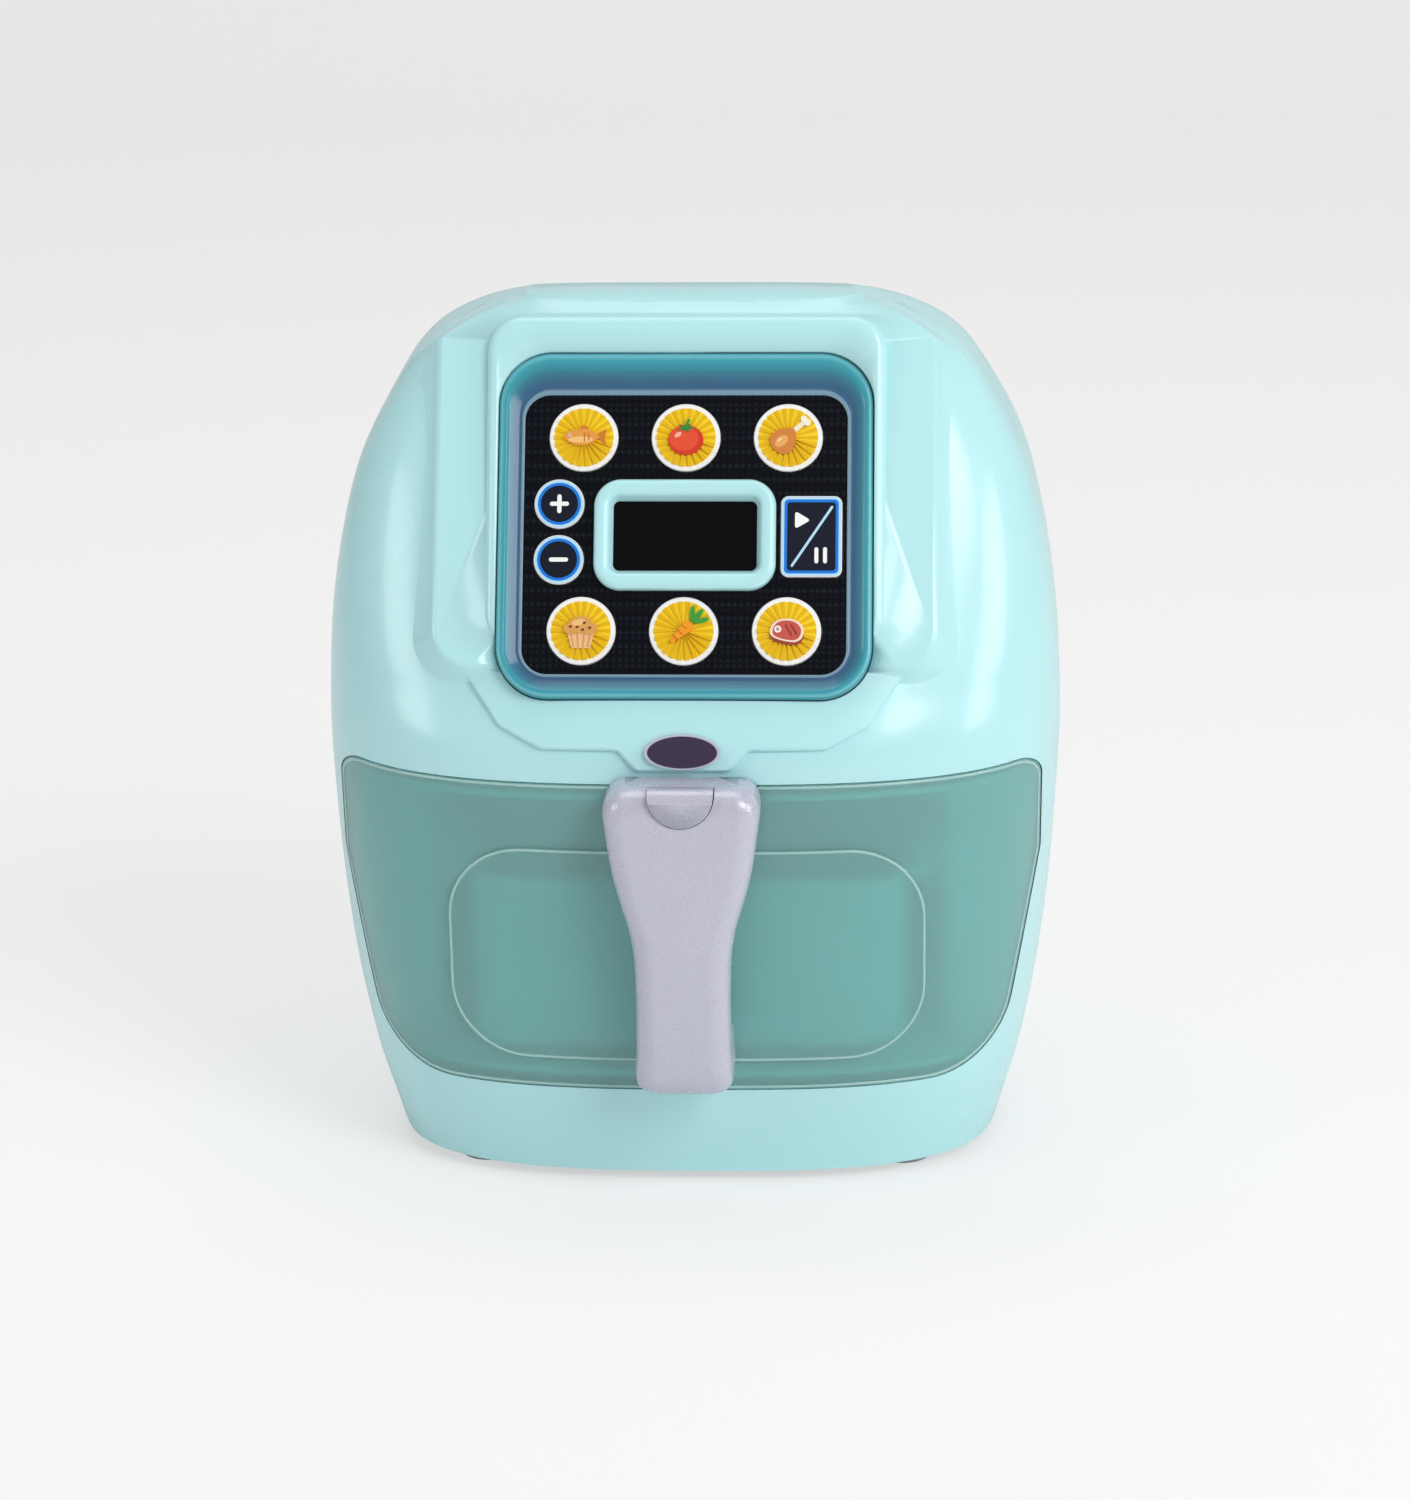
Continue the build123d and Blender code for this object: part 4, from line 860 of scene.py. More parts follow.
@dataclass
class Print:
    """A key's printed face: flat layers of ink, each one a little higher than the last."""

    name: str
    x: float
    s: float
    base: float
    step: float = 0.03
    layers: Picture = field(default_factory=list)

    def add(self, outline: Outline, colour: Colour) -> None:
        """Adds one layer of ink on top of the others."""
        self.layers.append((outline, colour))

    def put_on(self, key: str) -> None:
        """Puts the face on its key and dresses the key's sides."""
        dress(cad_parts[key], PRINT_RIM)
        new_piece(self.name, self.mesh(), PRINT, f"{key}_body")

    def mesh(self) -> bpy.types.Mesh:
        """Builds the layers as thin closed plates, each with its own ink.

        A layer's points stand twice, once on the key and once at the layer's height, with
        one face on top, one below and a strip of faces between.

        Returns:
            The mesh, with its ink attribute.
        """
        points: list[np.ndarray] = []
        faces: list[list[int]] = []
        inks: list[np.ndarray] = []
        start = 0
        for index, (outline, colour) in enumerate(self.layers):
            turning = np.roll(outline, -1, axis=0)
            area = np.sum(outline[:, 0] * turning[:, 1] - turning[:, 0] * outline[:, 1])
            ring = outline if area > 0 else outline[::-1]
            count = len(ring)
            for height in (self.base, self.base + self.step * (index + 1)):
                points.append(CONSOLE.place(self.x + ring[:, 0], self.s + ring[:, 1], height))
            low = np.arange(count) + start
            high = low + count
            faces.append(low[::-1].tolist())
            faces.append(high.tolist())
            strip = np.stack([low, np.roll(low, -1), np.roll(high, -1), high], axis=1)
            faces.extend(strip.tolist())
            inks.append(np.tile(colour, (2 * count, 1)))
            start += 2 * count
        mesh = bpy.data.meshes.new(self.name)
        mesh.from_pydata((np.concatenate(points) * MM).tolist(), [], faces)
        paint(mesh, np.concatenate(inks))
        return mesh


class Food(Enum):
    """The simple pictures on the six round keys."""

    FISH = "fish"
    TOMATO = "tomato"
    DRUMSTICK = "drumstick"
    MUFFIN = "muffin"
    CARROT = "carrot"
    STEAK = "steak"


WHITE: Colour = (0.92, 0.92, 0.9)
SUN: Colour = (0.93, 0.66, 0.02)
RAY: Colour = (0.80, 0.47, 0.005)
NAVY: Colour = (0.006, 0.008, 0.02)
BRIGHT_BLUE: Colour = (0.01, 0.20, 0.72)
PALE_BLUE: Colour = (0.48, 0.74, 0.92)


@dataclass
class FoodKeys:
    """The six round keys' caps and their pictures."""

    pitch: float = 26.1
    row_high: float = 27.8
    row_low: float = -22.4
    radius: float = 8.8
    edge: float = 0.3
    rim: float = 0.9
    top: float = 1.2
    rays: int = 22
    ray_start: float = 0.6
    ray_share: float = 0.995

    def build(self) -> None:
        """Builds one printed face for each key."""
        rows = (("top", self.row_high), ("bottom", self.row_low))
        places = (("left", -1), ("middle", 0), ("right", 1))
        foods = iter(Food)
        for row, s in rows:
            for place, step in places:
                key = f"key_{row}_{place}"
                face = Print(f"picture_{row}_{place}", step * self.pitch, s, self.top)
                self._sunburst(face)
                self._food(face, next(foods))
                face.put_on(key)

    def _sunburst(self, face: Print) -> None:
        """Prints the white rim, the yellow disc and its darker rays.

        A ray is a wedge from near the middle to the disc's edge, half as wide as its pitch.

        Args:
            face: The face that gets them.
        """
        face.add(circle(0, 0, self.radius - self.edge), WHITE)
        disc = self.radius - self.edge - self.rim
        face.add(circle(0, 0, disc), SUN)
        turns = np.linspace(0, 2 * np.pi, self.rays, endpoint=False)
        half = np.pi / self.rays / 2
        for turn in turns:
            arc = turn + np.linspace(-half, half, 5)
            wedge = np.stack([disc * np.cos(arc), disc * np.sin(arc)], axis=-1) * self.ray_share
            tip = np.array([[self.ray_start * math.cos(turn), self.ray_start * math.sin(turn)]])
            face.add(np.concatenate([tip, wedge]), RAY)

    def _food(self, face: Print, food: Food) -> None:
        """Prints one picture.

        Args:
            face: The face that gets it.
            food: Which picture.
        """
        shapes = {
            Food.FISH: self._fish,
            Food.TOMATO: self._tomato,
            Food.DRUMSTICK: self._drumstick,
            Food.MUFFIN: self._muffin,
            Food.CARROT: self._carrot,
            Food.STEAK: self._steak,
        }
        for outline, colour in shapes[food]():
            face.add(outline, colour)

    def _fish(self) -> Picture:
        """A fried fish: a pointed body between two arcs, a forked tail, a fin and an eye.

        Returns:
            The picture's layers, the lowest first.
        """
        along = np.linspace(-1, 1, 30)
        upper = np.stack([4.6 * along - 0.6, 2.2 * (1 - along**2) ** 0.8], axis=-1)
        lower = np.stack([4.6 * along[::-1] - 0.6, -2.2 * (1 - along[::-1] ** 2) ** 0.8], axis=-1)
        tail = soft_polygon([(2.9, 0), (5.9, 2.4), (5.2, 0), (5.9, -2.4)], 0.2, 2)
        fin = soft_polygon([(-1.6, 1.5), (0.2, 3.4), (1.7, 1.4)], 0.2, 2)
        belly = ellipse(-0.8, -0.7, 3.2, 0.8)
        return [
            (tail, (0.62, 0.20, 0.03)),
            (fin, (0.62, 0.20, 0.03)),
            (np.concatenate([upper, lower[1:-1]]), (0.80, 0.33, 0.06)),
            (belly, (0.92, 0.55, 0.2)),
            (bar(0.2, -1.1, 0.2, 1.1, 0.14), (0.55, 0.16, 0.02)),
            (bar(1.3, -0.8, 1.3, 0.8, 0.14), (0.55, 0.16, 0.02)),
            (circle(-3.6, 0.5, 0.42, 20), WHITE),
            (circle(-3.6, 0.5, 0.22, 16), NAVY),
        ]

    def _tomato(self) -> Picture:
        """A tomato: a wide ellipse, a light patch, five pointed leaves and a stalk.

        Returns:
            The picture's layers, the lowest first.
        """
        shapes: Picture = [
            (ellipse(0.0, -0.8, 4.5, 3.9), (0.66, 0.045, 0.02)),
            (ellipse(-0.5, -0.4, 3.7, 3.2), (0.80, 0.085, 0.035)),
            (ellipse(-2.0, 0.6, 1.0, 0.55, 35), (0.95, 0.45, 0.33)),
        ]
        for turn in np.radians((0, 65, 130, 205, 285)):
            tip = np.array([[2.6 * math.cos(turn), 2.3 + 1.25 * math.sin(turn)]])
            side = np.array([-math.sin(turn), math.cos(turn)]) * 0.6
            root = np.array([0.0, 2.3])
            leaf = np.concatenate([tip, [root + side], [root - side]])
            shapes.append((leaf, (0.03, 0.26, 0.04)))
        shapes.append((bar(0.0, 2.5, 0.7, 4.4, 0.3, 7), (0.03, 0.30, 0.05)))
        return shapes

    def _drumstick(self) -> Picture:
        """A drumstick: a drop that leans, with a pale bone and a light patch.

        Returns:
            The picture's layers, the lowest first.
        """
        turn = np.linspace(0, 2 * np.pi, 48, endpoint=False)
        wide = 3.1 * (1 - 0.35 * np.sin(turn))
        drop = np.stack([wide * np.cos(turn), 3.6 * np.sin(turn)], axis=-1)
        lean = math.radians(-42)
        spin = np.array([[math.cos(lean), math.sin(lean)], [-math.sin(lean), math.cos(lean)]])
        body = drop @ spin + np.array([-0.9, -0.7])
        return [
            (bar(1.2, 1.4, 4.2, 4.0, 0.6), (0.90, 0.80, 0.62)),
            (circle(4.0, 4.7, 0.85, 24), (0.93, 0.85, 0.70)),
            (circle(4.9, 3.8, 0.85, 24), (0.93, 0.85, 0.70)),
            (body, (0.66, 0.23, 0.05)),
            (ellipse(-1.7, -1.1, 1.9, 1.2, 40), (0.84, 0.40, 0.12)),
            (ellipse(-2.2, -0.7, 0.8, 0.4, 40), (0.93, 0.6, 0.3)),
        ]

    def _muffin(self) -> Picture:
        """A muffin: a pleated cup under a cap of three humps, with dark drops.

        Returns:
            The picture's layers, the lowest first.
        """
        cup = soft_polygon([(-3.5, -0.4), (3.5, -0.4), (2.4, -4.6), (-2.4, -4.6)], 0.08, 2)
        shapes = [(cup, (0.88, 0.52, 0.26))]
        for x in (-2.0, -0.7, 0.7, 2.0):
            shapes.append((bar(x * 1.25, -0.8, x * 0.9, -4.2, 0.18, 5), (0.66, 0.33, 0.12)))
        for x, y, wide in ((-2.3, 0.4, 2.1), (2.3, 0.4, 2.1), (0.0, 1.4, 3.0)):
            shapes.append((ellipse(x, y, wide, 0.74 * wide), (0.72, 0.36, 0.10)))
        shapes.append((ellipse(-0.6, 2.0, 1.7, 0.8, 12), (0.86, 0.54, 0.22)))
        for x, y in ((-2.6, 0.9), (-0.9, 0.8), (0.9, 1.9), (2.3, 0.6), (0.5, 0.1)):
            shapes.append((ellipse(x, y, 0.4, 0.28, 20, 16), (0.12, 0.04, 0.015)))
        return shapes

    def _carrot(self) -> Picture:
        """A carrot: a tapered root that leans, with three leaves and short cross lines.

        Returns:
            The picture's layers, the lowest first.
        """
        root = soft_polygon([(-4.6, -4.2), (0.6, 3.0), (3.2, 0.6)], 0.2, 4)
        places = ((3.6, 3.9, 50), (2.2, 4.4, 85), (4.5, 2.6, 15))
        leaves = [(ellipse(x, y, 2.0, 0.6, lean), (0.05, 0.34, 0.05)) for x, y, lean in places]
        lines = [
            (bar(x, y, x + 1.1, y - 1.0, 0.13, 5), (0.55, 0.16, 0.01))
            for x, y in ((-0.4, 1.4), (-1.4, 0.0), (-2.5, -1.5))
        ]
        return leaves + [(root, (0.90, 0.33, 0.02)), *lines]

    def _steak(self) -> Picture:
        """A steak: a bean shape with a pale edge of fat, a lean middle, lines and a round bone.

        Returns:
            The picture's layers, the lowest first.
        """
        corners = [(-4.8, -1.0), (-3.0, 3.0), (2.2, 3.2), (4.9, 0.4), (3.4, -3.2), (-1.4, -2.6)]
        bean = soft_polygon(corners, 0.25, 3)
        return [
            (bean + np.array([0.0, -0.8]), (0.35, 0.06, 0.04)),
            (bean, (0.90, 0.72, 0.58)),
            (bean * 0.84, (0.58, 0.10, 0.07)),
            (circle(-2.2, 0.4, 0.9, 24), WHITE),
            (circle(-2.2, 0.4, 0.5, 20), (0.62, 0.34, 0.22)),
            (bar(-0.2, 1.4, 1.3, -1.2, 0.17, 5), (0.30, 0.04, 0.03)),
            (bar(1.2, 1.5, 2.6, -0.9, 0.17, 5), (0.30, 0.04, 0.03)),
        ]


@dataclass
class SignKeys:
    """The plus, minus and play keys: a pale ring, a bright ring, a dark face and white signs."""

    x: float = -32.1
    plus_s: float = 10.5
    minus_s: float = -4.0
    radius: float = 6.4
    play_x: float = 32.2
    play_s: float = 2.1
    play_half_width: float = 7.8
    play_half_height: float = 10.5
    play_corner: float = 2.0
    top: float = 1.2
    edge: float = 0.25
    pale_ring: float = 0.65
    bright_ring: float = 0.75
    sign_half: float = 0.55
    sign_reach: float = 1.9
    slash: tuple[float, ...] = (-4.9, -7.6, 5.2, 7.6, 0.32)
    triangle: tuple[tuple[float, float], ...] = ((-4.2, 1.9), (-4.2, 6.6), (-0.2, 4.2))
    pause_at: tuple[float, float] = (1.3, 3.5)
    pause_ends: tuple[float, float] = (-6.5, -3.3)
    pause_half: float = 0.5

    def build(self) -> None:
        """Builds the three printed faces."""
        reach, half = self.sign_reach, self.sign_half
        for name, s in (("plus", self.plus_s), ("minus", self.minus_s)):
            face = Print(f"{name}_face", self.x, s, self.top)
            outer = self.radius - self.edge
            face.add(circle(0, 0, outer), PALE_BLUE)
            face.add(circle(0, 0, outer - self.pale_ring), BRIGHT_BLUE)
            face.add(circle(0, 0, outer - self.pale_ring - self.bright_ring), NAVY)
            face.add(bar(-reach, 0, reach, 0, half), WHITE)
            if name == "plus":
                face.add(bar(0, -reach, 0, reach, half), WHITE)
            face.put_on(f"{name}_key")
        face = Print("play_pause_face", self.play_x, self.play_s, self.top)
        for inset, colour in (
            (self.edge, PALE_BLUE),
            (self.edge + self.pale_ring, BRIGHT_BLUE),
            (self.edge + self.pale_ring + self.bright_ring, NAVY),
        ):
            corner = max(self.play_corner - inset, 0.8)
            wide, high = self.play_half_width - inset, self.play_half_height - inset
            face.add(rounded_rectangle(wide, high, high, corner, 8)[0], colour)
        face.add(bar(*self.slash), PALE_BLUE)
        face.add(soft_polygon(self.triangle, 0.12, 2), WHITE)
        low, high = self.pause_ends
        for x in self.pause_at:
            face.add(bar(x, low, x, high, self.pause_half), WHITE)
        face.put_on("play_pause_key")


@dataclass
class Ring:
    """A closed ring between an inner and an outer rounded rectangle in the console's plane.

    Its profile is a list of (share, height): share 0 is the inner outline and 1 the outer one,
    and the point lies that far between them, at that height over the face.
    """

    name: str
    inner: tuple[float, ...]
    outer: tuple[float, ...]
    middle: float
    profile: list[tuple[float, float]]
    corner_steps: int = 28

    def mesh(self) -> bpy.types.Mesh:
        """Carries the profile round the ring.

        Returns:
            The mesh, with its columns along the outline and its rows along the profile.
        """
        share = np.array([row[0] for row in self.profile])
        height = np.array([row[1] for row in self.profile])
        sizes = [a + share * (b - a) for a, b in zip(self.inner, self.outer)]
        outline = rounded_rectangle(*sizes, self.corner_steps)
        points = CONSOLE.place(outline[..., 0], self.middle + outline[..., 1], height[:, None])
        return grid_mesh(self.name, points, closed=True)


def rounded_profile(
    corners: Sequence[tuple[float, float, float]], steps: int = 5
) -> list[tuple[float, float]]:
    """A closed profile whose corners are replaced by short curves.

    Each corner is (share, height, cut): a curve runs from a cut before it to a cut after it,
    as a blend of the two straight runs through the corner.

    Args:
        corners: The corners with their cuts, as shares of their shorter run.
        steps: Points in each curve.

    Returns:
        The profile's points.
    """
    points = np.array([corner[:2] for corner in corners])
    out: list[tuple[float, float]] = []
    for index, (_, _, cut) in enumerate(corners):
        here, before, after = points[index], points[index - 1], points[(index + 1) % len(points)]
        if cut <= 0:
            out.append(tuple(here))
            continue
        start, end = here + (before - here) * cut, here + (after - here) * cut
        for t in np.linspace(0, 1, steps):
            out.append(tuple((1 - t) ** 2 * start + 2 * t * (1 - t) * here + t**2 * end))
    return out


@dataclass
class Window:
    """The clear blue frame round the keys, the dark panel and the raised frame of the display.

    A profile's rows are (share from the inner to the outer outline, height, cut at the
    corner), and the bezel's colour rows are (share, red, green, blue), with a painted
    highlight on the rim's crest and painted shade at its outer edge.
    """

    bezel_inner: tuple[float, ...] = (41.2, 33.6, 38.9, 6.5)
    bezel_outer: tuple[float, ...] = (47.8, 39.9, 49.9, 13.5)
    bezel_profile: tuple[tuple[float, float, float], ...] = (
        (0.0, 0.6, 0.0),
        (0.0, 1.25, 0.4),
        (0.10, 1.3, 0.3),
        (0.16, 1.0, 0.3),
        (0.24, 1.05, 0.2),
        (0.62, 2.1, 0.2),
        (0.70, 2.45, 0.3),
        (0.90, 2.5, 0.45),
        (1.0, 1.5, 0.3),
        (1.0, -3.0, 0.0),
        (0.52, -3.0, 0.0),
        (0.52, 0.6, 0.0),
    )
    # Colours along the profile: a paler inner lip, steel blue over the groove and the lower slope,
    # and teal up the slope; the pale band at share 0.90 is a painted highlight on the crest and
    # the deep teal at share 1.0 is painted shade at the outer edge.
    bezel_colours_and_painted_light: tuple[tuple[float, ...], ...] = (
        (0.0, 0.24, 0.40, 0.52),
        (0.10, 0.24, 0.40, 0.52),
        (0.13, 0.060, 0.155, 0.290),
        (0.48, 0.065, 0.180, 0.310),
        (0.60, 0.060, 0.340, 0.430),
        (0.80, 0.070, 0.430, 0.530),
        (0.90, 0.220, 0.680, 0.760),
        (1.0, 0.030, 0.330, 0.400),
    )
    display_inner: tuple[float, ...] = (18.3, 9.0, 9.0, 1.6)
    display_outer: tuple[float, ...] = (23.2, 14.4, 14.4, 7.0)
    display_middle: float = 2.4
    display_profile: tuple[tuple[float, float, float], ...] = (
        (0.0, -0.9, 0.0),
        (0.0, 0.2, 0.3),
        (0.26, 3.0, 0.35),
        (0.80, 3.3, 0.5),
        (1.0, 2.2, 0.5),
        (1.0, 0.6, 0.0),
        (0.30, 0.6, 0.0),
        (0.30, -0.9, 0.0),
    )

    def build(self) -> None:
        """Builds both rings and dresses the panel and the lens."""
        self._bezel()
        self._display_frame()
        dress(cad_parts["control_panel"], PANEL)
        dress(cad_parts["display_lens"], LENS)

    def _bezel(self) -> None:
        """The clear frame: a flat lip inside, a groove, a slope up to a round outer rim, coloured
        along its profile with a painted highlight on the crest and painted shade at the outer
        edge.
        """
        profile = rounded_profile(self.bezel_profile)
        ring = Ring("bezel_ring", self.bezel_inner, self.bezel_outer, 0.0, profile)
        mesh = ring.mesh()
        share = np.array([row[0] for row in profile])
        at, *tones = np.array(self.bezel_colours_and_painted_light).T
        # These colours carry the painted highlight on the crest and the painted shade at the outer
        # edge.
        ink = np.stack([np.interp(share, at, tone) for tone in tones], axis=-1)
        paint(mesh, np.repeat(ink, len(mesh.vertices) // len(profile), axis=0))
        piece = new_piece("bezel_ring", mesh, CLEAR_BLUE, "housing")
        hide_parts("window_bezel")

    def _display_frame(self) -> None:
        """The mint frame: round outside, a flat top, and a slope down to the lens."""
        profile = rounded_profile(self.display_profile, 7)
        sizes = self.display_inner, self.display_outer, self.display_middle
        ring = Ring("display_ring", *sizes, profile)
        piece = new_piece("display_ring", ring.mesh(), MINT, "housing")
        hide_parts("display_frame")


@dataclass
class Shells:
    """The big moulded pieces, taken from their CAD forms with their soft edges smoothed.

    A row is the node, the piece, its finish, body and slot, the angle in degrees past which
    an edge stays sharp, and how far its surfaces lie outside the barrel.
    """

    rows: tuple[tuple[str, str, Finish, str, str, float, tuple[float, ...]], ...] = (
        ("front_housing", "front_shell", MINT, "housing", "body_shell", 28.0, (0.0, 1.7)),
        ("rear_housing", "rear_shell", MINT, "housing", "body_shell", 28.0, (0.0,)),
        ("drawer_front", "drawer_panel", FROSTED, "drawer", "drawer_panel", 25.0, (0.0, 0.6)),
        ("handle_front", "handle_grip", HANDLE, "drawer", "handle", 30.0, ()),
        ("handle_back", "handle_rear", HANDLE, "drawer", "handle", 30.0, ()),
        ("release_button", "thumb_button", HANDLE, "release", "button", 30.0, ()),
        ("drawer_tub", "tub", MINT_INNER, "drawer", "tub", 30.0, ()),
        ("badge_plate", "badge_face", BADGE, "housing", "badge", 30.0, (2.9,)),
    )

    def build(self) -> None:
        """Makes a smooth piece of each shell."""
        for node, name, finish, body, slot, angle, grows in self.rows:
            mesh = smooth_copy(node, name, angle)
            true_normals(mesh, grows)
            piece = new_piece(name, mesh, finish, body)
            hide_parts(node)


def rounded_polygon(
    corners: list[tuple[float, float, float]], count: int, arc_steps: int = 24
) -> Outline:
    """A closed outline with an arc in each corner, as evenly spaced points.

    An arc's centre lies on the corner's halving line, its radius over the sine of half the
    corner's angle away, and the arc turns between the two points where it touches the sides.

    Args:
        corners: Each corner's two coordinates and its radius, in order round the outline.
        count: How many points there are in all.
        arc_steps: How many points lay out each arc first.

    Returns:
        Points by 2.
    """
    places = np.array(corners)[:, :2]
    arcs: list[np.ndarray] = []
    for index, (*_, radius) in enumerate(corners):
        here = places[index]
        before, after = places[index - 1] - here, places[(index + 1) % len(places)] - here
        before, after = before / np.linalg.norm(before), after / np.linalg.norm(after)
        half = math.acos(float(before @ after)) / 2
        middle = before + after
        centre = here + middle / np.linalg.norm(middle) * radius / math.sin(half)
        first, last = (here + side * radius / math.tan(half) - centre for side in (before, after))
        start = math.atan2(first[1], first[0])
        sweep = (math.atan2(last[1], last[0]) - start + np.pi) % (2 * np.pi) - np.pi
        turn = start + np.linspace(0, sweep, arc_steps)
        arcs.append(centre + radius * np.stack([np.cos(turn), np.sin(turn)], axis=-1))
    path = np.concatenate([*arcs, arcs[0][:1]])
    length = np.concatenate([[0], np.cumsum(np.linalg.norm(np.diff(path, axis=0), axis=1))])
    spread = np.linspace(0, length[-1], count, endpoint=False)
    return np.stack([np.interp(spread, length, path[:, axis]) for axis in range(2)], axis=-1)


@dataclass
class Bead:
    """A thin raised line that runs round a closed outline on the barrel's front; its rise is real
    geometry and its pale finish is a painted highlight.

    Its surface is an ellipse carried along the outline: a point of the outline, plus the
    bead's half width times the turn's cosine sideways, plus its rise times the turn's sine
    along the barrel's own direction.
    """

    name: str
    outline: Outline
    grow: float
    half: float = 0.38
    rise: float = 0.22
    steps: int = 14

    def build(self) -> None:
        """Builds the line and lets it ride with the drawer."""
        x, z = self.outline.T
        middle = np.stack([x, BARREL.front_y(x, z, self.grow), z], axis=-1)
        outward = BARREL.slope(middle, self.grow)
        outward /= np.linalg.norm(outward, axis=1)[:, None]
        along = np.roll(middle, -1, axis=0) - np.roll(middle, 1, axis=0)
        side = np.cross(along, outward)
        side /= np.linalg.norm(side, axis=1)[:, None]
        turn = np.linspace(0, 2 * np.pi, self.steps, endpoint=False)[:, None, None]
        points = middle + self.half * np.cos(turn) * side + self.rise * np.sin(turn) * outward
        mesh = grid_mesh(self.name, points, closed=True)
        new_piece(self.name, mesh, PANEL_HIGHLIGHT_LINE, "drawer")


@dataclass
class PanelLines:
    """The two pale lines on the drawer's front, round its edge and round its raised middle: thin
    raised beads whose pale finish is a painted highlight along the edges.
    """

    inset: float = 0.95
    top: float = 113.3
    low: float = 28.3
    top_half_width: float = 91.5
    shoulder_half_width: float = 91.2
    shoulder_z: float = 86.0
    foot_half_width: float = 80.5
    corner: float = 22.0
    top_corner: float = 7.0
    raised_half_width: float = 61.5
    raised_top: float = 95.6
    raised_low: float = 37.0
    raised_corner: float = 20.0
    raised_grow: float = 0.6

    def build(self) -> None:
        """Builds both lines."""
        gap = self.inset
        right = [
            (self.top_half_width - gap, self.top - gap, self.top_corner - gap),
            (self.shoulder_half_width - gap, self.shoulder_z, 1.0),
            (self.foot_half_width - gap, self.low + gap, self.corner - gap),
        ]
        left = [(-x, z, radius) for x, z, radius in reversed(right)]
        Bead("panel_edge_highlight_line", rounded_polygon(right + left, 480), 0.0).build()
        wide = self.raised_half_width - gap / 2
        low, high = self.raised_low + gap / 2, self.raised_top - gap / 2
        corner = self.raised_corner - gap / 2
        signs = ((1, high), (1, low), (-1, low), (-1, high))
        raised = [(side * wide, z, corner) for side, z in signs]
        Bead("panel_raised_highlight_line", rounded_polygon(raised, 360), self.raised_grow).build()


@dataclass
class ReleaseSpring:
    """The wound spring behind the thumb button, which on the real toy shortens as the button goes
    in.

    Its surface is a circle carried along a helix: the spring's middle line, plus the coil's
    radius times the turn's cosine and sine, going back evenly with the turn. The circle lies
    between the direction out of the coil and the one square to that and to the wire.
    """

    wire: float = 0.36
    turns: float = 6.5
    turn_steps: int = 36
    wire_steps: int = 12

    def build(self) -> None:
        """Builds the spring between the ends of its CAD node."""
        low, high = (np.array(corner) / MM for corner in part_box("release_spring"))
        middle = (low + high) / 2
        radius = (high[0] - low[0]) / 2 - self.wire
        turn = np.linspace(0, 2 * np.pi * self.turns, int(self.turns * self.turn_steps))
        back = np.linspace(low[1] + self.wire, high[1] - self.wire, len(turn))
        out = np.stack([np.cos(turn), np.zeros_like(turn), np.sin(turn)], axis=-1)
        line = radius * out + np.stack(
            [np.full_like(turn, middle[0]), back, np.full_like(turn, middle[2])], axis=-1
        )
        across = np.cross(np.gradient(line, axis=0), out)
        across /= np.linalg.norm(across, axis=1)[:, None]
        round_wire = np.linspace(0, 2 * np.pi, self.wire_steps, endpoint=False)[None, :, None]
        width = np.full(len(turn), self.wire)
        width[[0, -1]] = 0.0
        width = width[:, None, None]
        circle_out = np.cos(round_wire) * out[:, None] + np.sin(round_wire) * across[:, None]
        mesh = grid_mesh("wound_spring", line[:, None] + width * circle_out, closed=False)
        piece = new_piece("wound_spring", mesh, STEEL, "drawer")
        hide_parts("release_spring")
        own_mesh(piece)


@dataclass
class InnerPieces:
    """Everything that keeps its CAD shape and only gets its finish."""

    def build(self) -> None:
        """Dresses each remaining node."""
        groups: list[tuple[Finish, list[str]]] = [
            (MINT_INNER, ["drawer_chamber", "rail_left", "rail_right", "drawer_bracket"]),
            (MINT_INNER, ["base_plate", "battery_door"]),
            (TRAY, ["crisper_tray"]),
            (MILKY, ["display_diffuser"]),
            (LAMP, ["display_leds"]),
            (RUBBER, ["key_membrane"]),
            (FOOT_RUBBER, ["foot_front_left", "foot_front_right"]),
            (FOOT_RUBBER, ["foot_rear_left", "foot_rear_right"]),
            (BOARD, ["circuit_board"]),
            (RESIN, ["controller_chip"]),
            (STEEL, ["board_screws", "handle_screws", "housing_screws", "base_screws"]),
            (STEEL, ["battery_door_screw", "battery_springs", "battery_contacts"]),
            (CELL, ["battery_cells"]),
            (BLACK, ["speaker_frame", "speaker_ring", "switch_body", "switch_knob"]),
            (CONE_PAPER, ["speaker_cone"]),
            (MAGNET, ["speaker_magnet"]),
            (RED_WIRE, ["battery_wires", "speaker_wires"]),
        ]
        for finish, nodes in groups:
            for node in nodes:
                dress(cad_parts[node], finish)
                LOG.info("node %s dressed as %s", node, finish.name)


